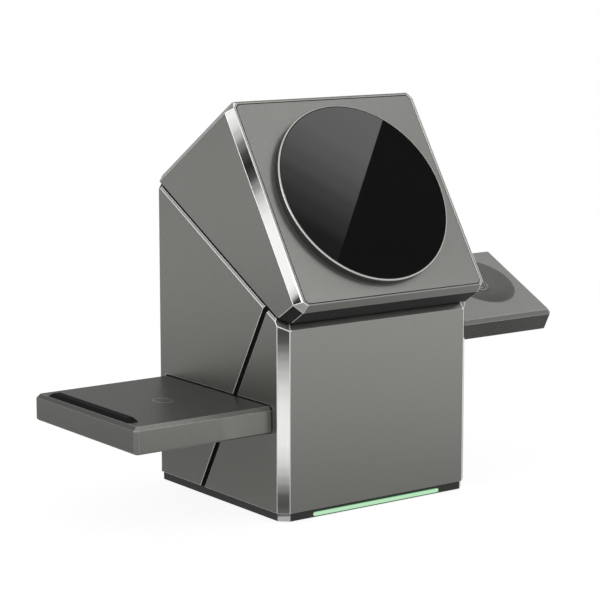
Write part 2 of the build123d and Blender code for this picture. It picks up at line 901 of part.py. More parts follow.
def clip_top():
    return body_roof - seat_gap - washer_thickness - 0.02


def shaft_bottom():
    return clip_top() - clip_thickness - shaft_end_length


def swivel_shaft():
    flange = along_axis(shaft_flange_radius, head_floor, head_floor + shaft_flange_thickness)
    neck = along_axis(shaft_radius, shaft_bottom(), head_floor)
    shaft = flange + neck
    shaft -= along_axis(shaft_bore_radius, shaft_bottom() - 1, head_floor + 10)
    groove = along_axis(shaft_radius + 1, clip_top() - clip_thickness - 0.02, clip_top() + 0.02)
    groove -= along_axis(shaft_radius - clip_groove_depth, clip_top() - 5, clip_top() + 5)
    shaft -= groove
    for place in shaft_screw_places():
        shaft -= place * Cylinder(screw_radius + screw_hole_gap, 20)
    return shaft


def shaft_screw_places():
    places = PolarLocations(shaft_screw_circle, shaft_screw_count, start_angle=45)
    return [cut_plane.location * place for place in places]


def swivel_washer():
    top = body_roof - seat_gap
    washer = along_axis(shaft_radius + washer_reach, top - washer_thickness, top)
    return washer - along_axis(shaft_radius + 0.3, body_roof - 5, 0)


def swivel_clip():
    # An open ring with two ears
    top = clip_top()
    clip = along_axis(shaft_radius + clip_reach, top - clip_thickness, top)
    for x in (-clip_ear_spread, clip_ear_spread):
        ear = Pos(x, shaft_radius + 2.0, 0) * Cylinder(
            clip_ear_radius, clip_thickness, align=(Align.CENTER, Align.CENTER, Align.MIN)
        )
        clip += cut_plane.offset(top - clip_thickness) * ear
    clip -= along_axis(shaft_radius - clip_groove_depth + 0.05, top - 3, top + 3)
    mouth = Pos(0, shaft_radius + 2, 0) * Box(clip_mouth, 8, 4)
    return clip - cut_plane.offset(top) * mouth


def shaft_screws():
    length = shaft_flange_thickness + head_plate_thickness - shaft_screw_end
    top = head_floor + shaft_flange_thickness + screw_head_height
    one = Pos(0, 0, top) * Rot(180, 0, 0) * screw(length)
    return Compound([place * one for place in shaft_screw_places()])


# Head. Drawn closed, then turned half round.

def head_block():
    half = width / 2
    head = above_cut(column(block_outline(), base_height, closed_height), head_bottom)
    bottom = head.faces().sort_by(swivel_axis)[0]
    head = chamfer(bottom.edges(), head_cut_bevel)
    top = closed_height
    back = depth / 2
    nose = (0, back, top - nose_drop)
    head = trimmed(head, (0, back - nose_flat, top), nose, (9, back, top - nose_drop))
    apex = (0, -back, top - apex_flat)
    head = trimmed(head, (0, -back + apex_flat, top), apex, (9, -back, top - apex_flat))
    for side in (-1, 1):
        flat_top = (side * (half - plate_edge_flat), 0, top)
        flat_bottom = (side * half, 0, top - plate_edge_drop)
        head = trimmed(head, flat_top, flat_bottom, (side * half, 9, top - plate_edge_drop))
        # Small facets where the long flats meet the corner flats, at the nose and at the apex
        inset = corner_facet_inset
        for end, flat, drop in ((1, nose_flat, nose_drop), (-1, apex_flat, apex_flat)):
            head = trimmed(
                head,
                (side * half, end * (back - corner_side), top - plate_edge_drop),
                (side * (half - plate_edge_flat - inset), end * (back - flat - inset), top),
                (side * (half - corner_front), end * back, top - drop),
            )
    return head


def panel_outline(grow=0.0):
    left = width / 2 - plate_edge_flat - panel_side_lip
    front = -depth / 2 + apex_flat + panel_end_lip
    back = depth / 2 - nose_flat - panel_end_lip
    shape = RectangleRounded(
        2 * (left + grow), back - front + 2 * grow, max(panel_corner_radius + grow, 0.2)
    )
    return Pos(0, (front + back) / 2) * shape


def head_plate_ends():
    # In the cut plane's own coordinates
    rim = depth / 2 - head_plate_rim
    front = (-rim + head_floor * sin(slope)) / cos(slope)
    back = (rim + head_bottom * sin(slope)) / cos(slope)
    return front, back


def head_plate_outline(grow=0.0):
    front, back = head_plate_ends()
    half = width / 2 - head_plate_rim + grow
    shape = Pos(0, (front + back) / 2) * Rectangle(2 * half, back - front + 2 * grow)
    return chamfer(shape.vertices(), head_plate_corner)


def head_screw_places():
    x = width / 2 - head_plate_rim - 3.6
    front, back = head_plate_ends()
    return [(sx * x, y) for sx in (-1, 1) for y in (front + 4.1, back - 5.2)]


def in_cut(solid, level=0.0):
    return cut_plane.offset(level) * solid


def head_housing():
    block = head_block()
    panel_bottom = closed_height - panel_thickness
    ledge_bottom = panel_bottom - panel_ledge_thickness
    cavity = above_cut(column(block_outline(head_wall), 0, ledge_bottom), head_bottom)
    head = block - cavity
    head -= column(panel_outline(-panel_ledge), ledge_bottom, closed_height)
    head -= column(panel_outline(panel_gap), panel_bottom, closed_height)
    for x, y in head_screw_places():
        tall = head_boss_short if y > 0 else head_boss_tall
        boss = in_cut(post(x, y, head_boss_radius, 0, tall), head_floor)
        head += boss & column(block_outline(1.0), 0, panel_bottom)
        head -= in_cut(post(x, y, screw_radius + seat_gap, -1, head_screw_hole), head_floor)
    head -= in_cut(column(head_plate_outline(seat_gap), 0, head_plate_thickness + seat_gap), head_bottom)
    return head


def head_base_plate():
    plate = in_cut(column(head_plate_outline(), 0, head_plate_thickness), head_bottom)
    plate -= along_axis(shaft_radius + 0.1, 0, 10)
    for x, y in head_screw_places():
        plate -= in_cut(post(x, y, screw_radius + screw_hole_gap, -1, 5))
        sunk = head_bottom + screw_head_height + 0.1
        plate -= in_cut(post(x, y, screw_head_radius + screw_head_gap, -1, sunk))
    for place in shaft_screw_places():
        plate -= place * Cylinder(screw_radius + seat_gap, 20)
    for x, y in head_board_screw_places():
        plate += in_cut(post(x, y, screw_head_radius, 0, head_board_gap), head_floor)
        plate -= in_cut(post(x, y, screw_radius + seat_gap, 1, head_board_gap), head_floor)
    return plate


def head_screws():
    one = screw(head_screw_length)
    screws = [Pos(x, y, head_bottom + 0.1) * one for x, y in head_screw_places()]
    return in_cut(Compound(screws))


def head_board_screw_places():
    x = head_board_width / 2 - 3
    y = head_board_depth / 2 - 3
    return [(sx * x, head_board_middle + sy * y) for sx in (-1, 1) for sy in (-1, 1)]


def head_board():
    outline = Pos(0, head_board_middle) * Rectangle(head_board_width, head_board_depth)
    board = column(outline, 0, head_board_thickness)
    board = chamfer(board.edges().filter_by(Axis.Z), 1.0)
    for x, y in head_board_screw_places():
        board -= post(x, y, screw_radius + screw_hole_gap, -1, 2)
    return in_cut(board, head_floor + head_board_gap)


def head_board_parts():
    top = head_board_thickness
    inductor = chamfer(Box(8, 8, 3.6).edges().filter_by(Axis.Z), 1.4)
    parts = [
        Pos(-10, head_board_middle, top + 1.8) * inductor,
        Pos(3, head_board_middle - 5, top + 0.5) * Box(7, 7, 1.0),
        Pos(14, head_board_middle + 3, top + 1.1) * Box(5, 6, 2.2),
        post(12, head_board_middle - 7, 2.0, top, top + 3.6),
        Pos(0, 0, top + head_plug_height / 2) * Box(plug_size, plug_size, head_plug_height),
    ]
    # The lead's connector hangs under the board, on the swivel's axis
    reach = head_board_gap - shaft_flange_thickness - 1.2
    parts.append(Pos(0, 0, -reach / 2) * Box(6, 5, reach))
    return in_cut(Compound(parts), head_floor + head_board_gap)


def head_board_screws():
    top = head_board_thickness + screw_head_height
    one = Pos(0, 0, top) * Rot(180, 0, 0) * screw(head_board_screw_length)
    screws = [Pos(x, y, 0) * one for x, y in head_board_screw_places()]
    return in_cut(Compound(screws), head_floor + head_board_gap)


# Plate and puck

def front_panel():
    panel = column(panel_outline(), closed_height - panel_thickness, closed_height)
    return panel - post(0, 0, puck_spigot_radius + 0.1, 0, closed_height + 1)


def puck_ring():
    # An aluminium cup: its rim stands on the panel, its floor passes through
    top = closed_height + puck_height
    floor_top = closed_height - ferrite_thickness - 0.1
    floor_bottom = closed_height - panel_thickness + seat_gap
    outer = puck_radius
    inner = puck_radius - puck_wall
    profile = Polygon(
        (0, floor_bottom),
        (puck_spigot_radius, floor_bottom),
        (puck_spigot_radius, closed_height),
        (outer - 0.3, closed_height),
        (outer, closed_height + 0.3),
        (outer, top - 0.3),
        (outer - 0.3, top),
        (outer - puck_rim, top),
        (outer - puck_rim, glass_bottom),
        (inner, glass_bottom),
        (inner, closed_height + seat_gap),
        (ferrite_radius + 0.2, closed_height + seat_gap),
        (ferrite_radius + 0.2, floor_top),
        (0, floor_top),
        align=None,
    )
    cup = revolve(Plane.XZ * profile, axis=Axis.Z)
    for x, y in puck_screw_places():
        cup -= post(x, y, screw_radius + seat_gap, floor_bottom - 1, closed_height - 0.25)
    return cup - post(0, coil_lead_back, coil_lead_hole, 0, closed_height)


def puck_screw_places():
    return [
        (place.position.X, place.position.Y)
        for place in PolarLocations(puck_screw_circle, puck_screw_count, start_angle=45)
    ]


def glass_disc():
    radius = puck_radius - puck_rim - seat_gap
    disc = post(0, 0, radius, glass_bottom, closed_height + puck_height)
    return chamfer(disc.edges().sort_by(Axis.Z)[-1], 0.15)


def magnet_ring():
    bottom = closed_height + seat_gap
    full = ring(magnet_outer_radius, magnet_inner_radius, bottom, glass_bottom - 0.1)
    step = 360 / magnet_count
    reach = 2 * magnet_outer_radius
    magnets = []
    for i in range(magnet_count):
        start = radians(i * step + magnet_gap_angle / 2)
        end = radians((i + 1) * step - magnet_gap_angle / 2)
        wedge = Polygon(
            (0, 0),
            (reach * cos(start), reach * sin(start)),
            (reach * cos(end), reach * sin(end)),
            align=None,
        )
        magnets.append(full & column(wedge, bottom, glass_bottom))
    return Compound(magnets)


def coil(outer, bore, bottom, thickness):
    # Flat spiral winding, drawn as rings that touch in their middles
    turns = 6
    pitch = (outer - bore) / turns
    notch = pitch * 0.18
    points = [(bore, bottom), (outer, bottom), (outer, bottom + thickness * 0.8)]
    for i in range(turns):
        edge = outer - i * pitch
        points += [(edge - notch, bottom + thickness), (edge - pitch + notch, bottom + thickness)]
        points += [(edge - pitch, bottom + thickness * 0.8)]
    return revolve(Plane.XZ * Polygon(*points, align=None), axis=Axis.Z)


def coil_tails(tray, coil_edge, level):
    # Two flat tails from a coil's edge, over the board and down to its top
    board_edge = contact_x(tray) + tray.side * tray_board_reach
    landing = board_edge - tray.side * 1.2
    down = tray_base_top(tray) + tray_board_thickness
    tails = []
    for y in (tray.breadth / 2 - 2.5, tray.breadth / 2 + 1.3):
        across = tray.slab(coil_edge + tray.side * 0.8, landing, y, y + 1.2, level - 0.4, level)
        drop = tray.slab(landing, landing + tray.side * 0.5, y, y + 1.2, down, level)
        tails.append(across + drop)
    return tails[0] + tails[1]


def phone_coil():
    return coil(phone_coil_radius, phone_coil_bore, closed_height + 0.1, coil_thickness)


def ferrite_disc():
    disc = ring(ferrite_radius, 3.0, closed_height - ferrite_thickness, closed_height)
    return disc - post(0, coil_lead_back, coil_lead_hole, 0, closed_height)


def shield_plate():
    top = closed_height - panel_thickness - 0.02
    plate = ring(shield_radius, 5.0, top - shield_thickness, top)
    for x, y in puck_screw_places():
        plate -= post(x, y, screw_radius + screw_hole_gap, 0, top)
    return plate - post(0, coil_lead_back, coil_lead_hole, 0, closed_height)


def puck_screws():
    bottom = closed_height - panel_thickness - 0.02 - shield_thickness - screw_head_height
    length = shield_thickness + puck_screw_bite
    return Compound([Pos(x, y, bottom) * screw(length) for x, y in puck_screw_places()])


# Earbud tray pieces

def earbud_coil_x():
    return -width / 2 - earbud_coil_out


def earbud_tray_cover():
    return earbud.frame * tray_cover(earbud)


def earbud_coil():
    bottom = -tray_skin - coil_thickness - 0.05
    winding = coil(earbud_coil_radius, earbud_coil_bore, bottom, coil_thickness)
    winding = Pos(earbud_coil_x(), earbud_breadth / 2, 0) * winding
    edge = earbud_coil_x() + earbud_coil_radius
    return earbud.frame * (winding + coil_tails(earbud, edge, bottom + 0.6))


def earbud_ferrite():
    top = -tray_skin - coil_thickness - 0.1
    disc = ring(earbud_coil_radius + 1.0, 3.0, top - ferrite_thickness, top)
    return earbud.frame * (Pos(earbud_coil_x(), earbud_breadth / 2, 0) * disc)


def coil_pillars(x, y, radius, bottom, top):
    # Pillars on a tray's base, which hold up the ferrite and the coil on it
    places = PolarLocations(radius, 4, start_angle=45)
    return [
        post(x + place.position.X, y + place.position.Y, pillar_radius, bottom, top)
        for place in places
    ]


def earbud_tray_base():
    base = tray_base(earbud)
    bottom = tray_base_top(earbud) - seat_gap - 0.2
    top = -tray_skin - coil_thickness - ferrite_thickness - 0.15
    middle = earbud_breadth / 2
    for pillar in coil_pillars(earbud_coil_x(), middle, earbud_pillar_circle, bottom, top):
        base += pillar
    return earbud.frame * base


def stop_strip():
    foot = Rectangle(strip_width, strip_length)
    top = Rectangle(strip_width - 2 * strip_side_slope, strip_length - 2 * strip_end_slope)
    strip = loft([foot, Pos(0, 0, strip_height) * top])
    x = earbud.in_from(strip_inset + strip_width / 2)
    return earbud.frame * (Pos(x, earbud_breadth / 2, 0) * strip)


# Watch tray pieces

def dish_x():
    return width / 2 + dish_out


def watch_tray_cover():
    cover = tray_cover(watch)
    cover += post(dish_x(), dish_up, dish_radius + 1.6, -dish_depth - tray_skin, -tray_skin / 2)
    sphere_radius = (dish_radius ** 2 + dish_depth ** 2) / (2 * dish_depth)
    cover -= Pos(dish_x(), dish_up, sphere_radius - dish_depth) * Sphere(sphere_radius)
    for radius in dish_ring_radii:
        groove = ring(
            radius + dish_ring_width / 2, radius - dish_ring_width / 2,
            -dish_depth - dish_ring_depth, 0,
        )
        cover -= Pos(dish_x(), dish_up, 0) * groove
    return watch.frame * cover


def watch_coil_top():
    return -dish_depth - tray_skin - 0.05


def watch_coil():
    bottom = watch_coil_top() - 1.0
    winding = coil(dish_radius + coil_rim, watch_coil_bore, bottom, 1.0)
    winding = Pos(dish_x(), dish_up, 0) * winding
    edge = dish_x() - dish_radius - coil_rim
    return watch.frame * (winding + coil_tails(watch, edge, bottom + 0.5))


def watch_magnet():
    magnet = post(dish_x(), dish_up, watch_coil_bore - 0.6, watch_coil_top() - 1.0, watch_coil_top())
    return watch.frame * magnet


def watch_ferrite():
    top = watch_coil_top() - 1.05
    radius = dish_radius + coil_rim + ferrite_rim
    disc = post(dish_x(), dish_up, radius, top - 0.6, top)
    return watch.frame * disc


def watch_tray_base():
    base = tray_base(watch)
    bottom = tray_base_top(watch) - seat_gap - 0.2
    top = watch_coil_top() - 1.05 - 0.65
    for pillar in coil_pillars(dish_x(), dish_up, watch_pillar_circle, bottom, top):
        base += pillar
    return watch.frame * base


def build():
    os.makedirs("parts", exist_ok=True)
    stand = {
        "body_housing": body_housing(),
        "groove_inlay_left": groove_inlay_strip(-1),
        "groove_inlay_right": groove_inlay_strip(1),
        "base_cover": base_cover(),
        "foot_pad": foot_pad(),
        "base_screws": upright_screws(base_screw_places(), foot_thickness, base_screw_length),
        "light_bar": light_bar_solid(),
        "light_board": light_board(),
        "main_board": main_board(),
        "main_board_parts": board_parts(),
        "main_board_screws": main_board_screws(),
        "usb_c_socket": usb_socket(),
        "head_lead": head_lead(),
        "earbud_lead": contact_lead(earbud, earbud_plug),
        "watch_lead": contact_lead(watch, watch_plug),
        "earbud_guide": earbud_guide(),
        "earbud_guide_screws": upright_screws(
            guide_leg_places(), foot_thickness, base_screw_length
        ),
        "earbud_contact_block": earbud.frame * contact_block(earbud),
        "earbud_contact_pins": earbud.frame * contact_pins(earbud),
        "watch_guide": watch_guide(),
        "watch_guide_screws": watch_guide_screws(),
        "watch_contact_block": watch.frame * contact_block(watch),
        "watch_contact_pins": watch.frame * contact_pins(watch),
        "swivel_bush": swivel_bush(),
    }
    head = {
        "head_housing": head_housing(),
        "head_base_plate": head_base_plate(),
        "head_screws": head_screws(),
        "swivel_shaft": swivel_shaft(),
        "swivel_washer": swivel_washer(),
        "swivel_clip": swivel_clip(),
        "shaft_screws": shaft_screws(),
        "head_board": head_board(),
        "head_board_parts": head_board_parts(),
        "head_board_screws": head_board_screws(),
        "front_panel": front_panel(),
        "puck_ring": puck_ring(),
        "glass_disc": glass_disc(),
        "magnet_ring": magnet_ring(),
        "phone_coil": phone_coil(),
        "phone_coil_lead": phone_coil_lead(),
        "phone_ferrite": ferrite_disc(),
        "shield_plate": shield_plate(),
        "puck_screws": puck_screws(),
    }
    trays = {
        "earbud_tray_cover": earbud_tray_cover(),
        "earbud_tray_base": earbud_tray_base(),
        "earbud_tray_screws": earbud.frame * tray_screws(earbud),
        "earbud_tray_board": earbud.frame * tray_board(earbud),
        "earbud_coil": earbud_coil(),
        "earbud_ferrite": earbud_ferrite(),
        "stop_strip": stop_strip(),
        "watch_tray_cover": watch_tray_cover(),
        "watch_tray_base": watch_tray_base(),
        "watch_tray_screws": watch.frame * tray_screws(watch),
        "watch_tray_board": watch.frame * tray_board(watch),
        "watch_coil": watch_coil(),
        "watch_magnet": watch_magnet(),
        "watch_ferrite": watch_ferrite(),
    }
    for name, shape in stand.items():
        save(name, shape)
    for name, shape in head.items():
        save(name, opened(shape))
    for name, shape in trays.items():
        save(name, shape)


build()
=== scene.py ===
import json
from math import cos, radians, sin

import bmesh
import bpy
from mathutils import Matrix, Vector


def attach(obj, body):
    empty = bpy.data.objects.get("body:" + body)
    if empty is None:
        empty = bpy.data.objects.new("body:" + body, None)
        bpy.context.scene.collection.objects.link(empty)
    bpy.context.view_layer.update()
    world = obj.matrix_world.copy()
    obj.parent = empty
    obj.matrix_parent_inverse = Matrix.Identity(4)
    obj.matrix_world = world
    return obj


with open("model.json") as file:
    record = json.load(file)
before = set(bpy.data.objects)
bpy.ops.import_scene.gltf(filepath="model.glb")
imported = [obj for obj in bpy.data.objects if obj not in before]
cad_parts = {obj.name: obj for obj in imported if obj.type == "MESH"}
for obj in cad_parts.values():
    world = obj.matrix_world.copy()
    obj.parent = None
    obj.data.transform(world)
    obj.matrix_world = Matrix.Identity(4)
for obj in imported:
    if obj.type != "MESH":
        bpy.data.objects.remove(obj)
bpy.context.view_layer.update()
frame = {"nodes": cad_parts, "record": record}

nodes = frame["nodes"]
millimetre = 0.001
print("frame loaded:", len(nodes), "nodes")

# The cut and the swivel, as in the part's source
cutSlope = radians(28.5)
swivelAxis = Vector((0, -sin(cutSlope), cos(cutSlope)))


def closedDirection(direction):
    # The head stands turned half round, so this gives a direction as with the head closed
    return 2 * swivelAxis.dot(direction) * swivelAxis - direction


def highestAlong(node, direction):
    # How far a node reaches along a direction, in metres
    return max(vertex.co.dot(direction) for vertex in nodes[node].data.vertices)


def newMaterial(name):
    material = bpy.data.materials.new(name)
    material.use_nodes = True
    shader = material.node_tree.nodes["Principled BSDF"]
    return material, material.node_tree, shader


def bareMaterial(name):
    # For the cards and the floor, which have no Principled shader
    material = bpy.data.materials.new(name)
    material.use_nodes = True
    tree = material.node_tree
    tree.nodes.clear()
    output = tree.nodes.new("ShaderNodeOutputMaterial")
    return material, tree, output


def addNode(tree, kind, inputs):
    node = tree.nodes.new(kind)
    for socket, value in inputs.items():
        node.inputs[socket].default_value = value
    return node


def calculate(tree, operation, *values):
    # One maths step on other nodes' outputs or on plain numbers
    node = tree.nodes.new("ShaderNodeMath")
    node.operation = operation
    for value, socket in zip(values, node.inputs):
        if hasattr(value, "is_linked"):
            tree.links.new(value, socket)
        else:
            socket.default_value = value
    return node.outputs["Value"]


def objectPlace(tree, stretch=(1, 1, 1)):
    place = tree.nodes.new("ShaderNodeTexCoord")
    mapping = addNode(tree, "ShaderNodeMapping", {"Scale": stretch})
    tree.links.new(place.outputs["Object"], mapping.inputs["Vector"])
    return mapping.outputs["Vector"]


def partOf(tree, place, axis):
    split = tree.nodes.new("ShaderNodeSeparateXYZ")
    tree.links.new(place, split.inputs["Vector"])
    return split.outputs[axis]


def swivelLevel(tree, place):
    # How high a place is along the swivel's axis, which is square to the cut
    node = tree.nodes.new("ShaderNodeVectorMath")
    node.operation = "DOT_PRODUCT"
    tree.links.new(place, node.inputs[0])
    node.inputs[1].default_value = swivelAxis
    return node.outputs["Value"]


def noise(tree, place, scale, detail=2.0):
    texture = addNode(tree, "ShaderNodeTexNoise", {"Scale": scale, "Detail": detail})
    tree.links.new(place, texture.inputs["Vector"])
    return texture.outputs["Fac"]


def mapRange(tree, value, low, high, newLow, newHigh):
    node = addNode(tree, "ShaderNodeMapRange", {
        "From Min": low, "From Max": high, "To Min": newLow, "To Max": newHigh,
    })
    tree.links.new(value, node.inputs["Value"])
    return node.outputs["Result"]


evenRange = (0.3, 0.7)  # nearly all of a noise texture's values lie in here
sparseRange = (0.35, 0.75)  # a little higher, so that specks and smears stay few


def spread(tree, texture, newLow, newHigh, between=evenRange):
    # Stretches a noise texture's values over the wanted range
    return mapRange(tree, texture, *between, newLow, newHigh)


def mixColours(tree, factor, first, second):
    node = tree.nodes.new("ShaderNodeMix")
    node.data_type = "RGBA"
    for socket, value in (("A", first), ("B", second)):
        target = [i for i in node.inputs if i.name == socket and i.type == "RGBA"][0]
        if hasattr(value, "is_linked"):
            tree.links.new(value, target)
        else:
            target.default_value = (*value, 1)
    tree.links.new(factor, node.inputs[0])
    return [o for o in node.outputs if o.type == "RGBA"][0]


def colourRamp(tree, share, interpolation, stops):
    # Colours at their spots along a share that runs from 0 to 1
    ramp = tree.nodes.new("ShaderNodeValToRGB")
    ramp.color_ramp.interpolation = interpolation
    elements = ramp.color_ramp.elements
    for count, (spot, tone) in enumerate(stops):
        element = elements[count] if count < 2 else elements.new(spot)  # a new ramp has two
        element.position = spot
        element.color = (*tone, 1)
    tree.links.new(share, ramp.inputs["Fac"])
    return ramp.outputs["Color"]


def addBump(tree, shader, height, look):
    bump = addNode(tree, "ShaderNodeBump", {
        "Distance": look["grainHeight"], "Strength": look["grainStrength"],
    })
    tree.links.new(height, bump.inputs["Height"])
    tree.links.new(bump.outputs["Normal"], shader.inputs["Normal"])


def blastedMetal(name, look):
    # Fine blasted and anodised aluminium: grain and faint clouds, with painted light and shade as a slow
    # change of tone with height
    material, tree, shader = newMaterial(name)
    shader.inputs["Metallic"].default_value = look["metallic"]
    place = objectPlace(tree)
    # Painted light and shade: lowTone and highTone change the tone with height, lighter towards the top of
    # the body and head, darker towards the top of the panel
    height = mapRange(tree, partOf(tree, place, "Z"), look["lowZ"], look["highZ"], 0, 1)
    tone = mixColours(tree, height, look["lowTone"], look["highTone"])
    clouds = spread(tree, noise(tree, place, look["cloudScale"], look["cloudDetail"]), 0, look["cloud"])
    clouded = mixColours(tree, clouds, tone, look["cloudTone"])
    speck = noise(tree, place, look["speckScale"], look["speckDetail"])
    specks = spread(tree, speck, 0, look["speck"], sparseRange)
    tree.links.new(mixColours(tree, specks, clouded, look["speckTone"]), shader.inputs["Base Color"])
    rough = spread(tree, noise(tree, place, look["roughScale"]), look["roughLow"], look["roughHigh"])
    tree.links.new(rough, shader.inputs["Roughness"])
    addBump(tree, shader, speck, look)
    return material


bodyLook = {
    "metallic": 1.0,
    "lowZ": 0.0, "lowTone": (0.245, 0.247, 0.229),
    "highZ": 0.085, "highTone": (0.262, 0.263, 0.244),
    "cloud": 0.10, "cloudTone": (0.25, 0.25, 0.23), "cloudScale": 45.0, "cloudDetail": 3.0,
    "speck": 0.22, "speckTone": (0.30, 0.30, 0.28), "speckScale": 3200.0, "speckDetail": 1.0,
    "roughLow": 0.33, "roughHigh": 0.41, "roughScale": 900.0,
    "grainHeight": 0.00002, "grainStrength": 0.25,
}
headLook = dict(
    bodyLook,
    lowZ=0.062, lowTone=(0.240, 0.241, 0.227),
    highZ=0.112, highTone=(0.32, 0.321, 0.304),
)
panelLook = dict(
    bodyLook, metallic=0.8,
    lowZ=0.058, lowTone=(0.238, 0.239, 0.227),
    highZ=0.114, highTone=(0.222, 0.223, 0.213),
)
# Painted shade: a darker copy of the body metal, for the body's front bevel and the watch tray's front
# bevel
shadedLook = dict(
    bodyLook, cloud=0.04, speck=0.05,
    lowTone=(0.150, 0.151, 0.141), highTone=(0.156, 0.157, 0.147),
)
trayLook = dict(
    bodyLook,
    lowZ=0.024, lowTone=(0.208, 0.211, 0.195),
    highZ=0.060, highTone=(0.205, 0.208, 0.195),
)
# Painted shade: a darker copy of the tray metal for the sunken watch dish
dishShadeLook = dict(trayLook, lowTone=(0.085, 0.086, 0.083), highTone=(0.10, 0.101, 0.097))
# Painted light: a lighter copy of the tray metal for the watch tray
watchLitLook = dict(trayLook, lowTone=(0.235, 0.237, 0.226), highTone=(0.25, 0.252, 0.240))
# Painted shade: a much darker copy of the tray metal for the watch tray's front end, which faces down and
# forward
watchFrontShadeLook = dict(trayLook, lowTone=(0.060, 0.061, 0.058), highTone=(0.064, 0.065, 0.062))

bodyMetal = blastedMetal("body metal", bodyLook)
shadedMetal = blastedMetal("shaded bevel", shadedLook)
headMetal = blastedMetal("head metal", headLook)
panelMetal = blastedMetal("panel metal", panelLook)
trayMetal = blastedMetal("tray metal", trayLook)
dishShadeMetal = blastedMetal("dish painted shade", dishShadeLook)
watchLitMetal = blastedMetal("watch tray painted light", watchLitLook)
watchFrontShadeMetal = blastedMetal("watch tray front painted shade", watchFrontShadeLook)


def polishedMetal(name, look):
    # Diamond-cut facets: nearly a mirror, with faint lines from the cutter
    material, tree, shader = newMaterial(name)
    shader.inputs["Metallic"].default_value = look["metallic"]
    place = objectPlace(tree, look["lineStretch"])
    lines = noise(tree, place, look["lineScale"])
    tone = mixColours(tree, spread(tree, lines, 0, 1), look["tone"], look["lineTone"])
    tree.links.new(tone, shader.inputs["Base Color"])
    rough = spread(tree, lines, look["roughLow"], look["roughHigh"])
    tree.links.new(rough, shader.inputs["Roughness"])
    addBump(tree, shader, lines, look)
    return material


facetLook = {
    "metallic": 1.0, "tone": (0.80, 0.80, 0.79),
    "lineTone": (0.77, 0.77, 0.76), "lineStretch": (1, 1, 0.05), "lineScale": 1800.0,
    "roughLow": 0.015, "roughHigh": 0.03, "grainHeight": 0.000001, "grainStrength": 0.05,
}
facetMetal = polishedMetal("polished facet", facetLook)


def turnedMetal(name, look):
    # The puck's rim and its wall: a fine even grain
    material, tree, shader = newMaterial(name)
    shader.inputs["Metallic"].default_value = look["metallic"]
    grain = noise(tree, objectPlace(tree), look["grainScale"])
    tone = mixColours(tree, spread(tree, grain, 0, 1), look["tone"], look["grainTone"])
    tree.links.new(tone, shader.inputs["Base Color"])
    rough = spread(tree, grain, look["roughLow"], look["roughHigh"])
    tree.links.new(rough, shader.inputs["Roughness"])
    addBump(tree, shader, grain, look)
    return material


ringLook = {
    "metallic": 0.85, "tone": (0.62, 0.62, 0.60), "grainTone": (0.54, 0.54, 0.52),
    "grainScale": 1500.0, "grainHeight": 0.00002, "grainStrength": 0.3,
    "roughLow": 0.26, "roughHigh": 0.34,
}
# Painted shade: a much darker copy of the rim metal for the puck's wall
puckWallShadeLook = dict(
    ringLook, metallic=0.9, tone=(0.13, 0.13, 0.126), grainTone=(0.10, 0.10, 0.097),
    roughLow=0.34, roughHigh=0.42,
)
puckMetal = turnedMetal("turned puck rim", ringLook)
puckWallShade = turnedMetal("puck wall painted shade", puckWallShadeLook)


def blackGlass(name, look):
    # Smears show as a slightly paler and duller haze
    material, tree, shader = newMaterial(name)
    haze = noise(tree, objectPlace(tree), look["smearScale"], look["smearDetail"])
    smear = spread(tree, haze, 0, 1, sparseRange)
    tree.links.new(mixColours(tree, smear, look["tone"], look["smearTone"]), shader.inputs["Base Color"])
    rough = mapRange(tree, smear, 0, 1, look["roughLow"], look["roughHigh"])
    tree.links.new(rough, shader.inputs["Roughness"])
    shader.inputs["IOR"].default_value = look["ior"]
    return material


glassLook = {
    "tone": (0.0075, 0.0075, 0.0075),
    "smearTone": (0.009, 0.009, 0.009), "smearScale": 70.0, "smearDetail": 3.0,
    "roughLow": 0.006, "roughHigh": 0.014, "ior": 1.45,
}
puckGlass = blackGlass("black glass", glassLook)


def mouldedPlastic(name, look):
    material, tree, shader = newMaterial(name)
    place = objectPlace(tree)
    grain = noise(tree, place, look["grainScale"])
    cloud = spread(tree, noise(tree, place, look["cloudScale"]), 0, 1)
    tree.links.new(mixColours(tree, cloud, look["tone"], look["cloudTone"]), shader.inputs["Base Color"])
    rough = spread(tree, grain, look["roughLow"], look["roughHigh"])
    tree.links.new(rough, shader.inputs["Roughness"])
    shader.inputs["Specular IOR Level"].default_value = look["specular"]
    addBump(tree, shader, grain, look)
    return material


skirtLook = {
    "tone": (0.035, 0.036, 0.034), "cloudTone": (0.045, 0.046, 0.044), "cloudScale": 60.0,
    "roughLow": 0.40, "roughHigh": 0.50, "specular": 0.5,
    "grainScale": 2500.0, "grainHeight": 0.00002, "grainStrength": 0.5,
}
rubberLook = dict(
    skirtLook, tone=(0.007, 0.008, 0.008), cloudTone=(0.010, 0.011, 0.011),
    roughLow=0.57, roughHigh=0.67, specular=0.10, grainScale=3500.0,
)
inlayLook = dict(
    rubberLook, tone=(0.004, 0.004, 0.004), cloudTone=(0.005, 0.005, 0.005),
    roughLow=0.65, roughHigh=0.75,
)
skirtPlastic = mouldedPlastic("dark skirt", skirtLook)
footRubber = mouldedPlastic("foot rubber", rubberLook)
stripRubber = mouldedPlastic("strip rubber", rubberLook)
blackInlay = mouldedPlastic("black inlay", inlayLook)


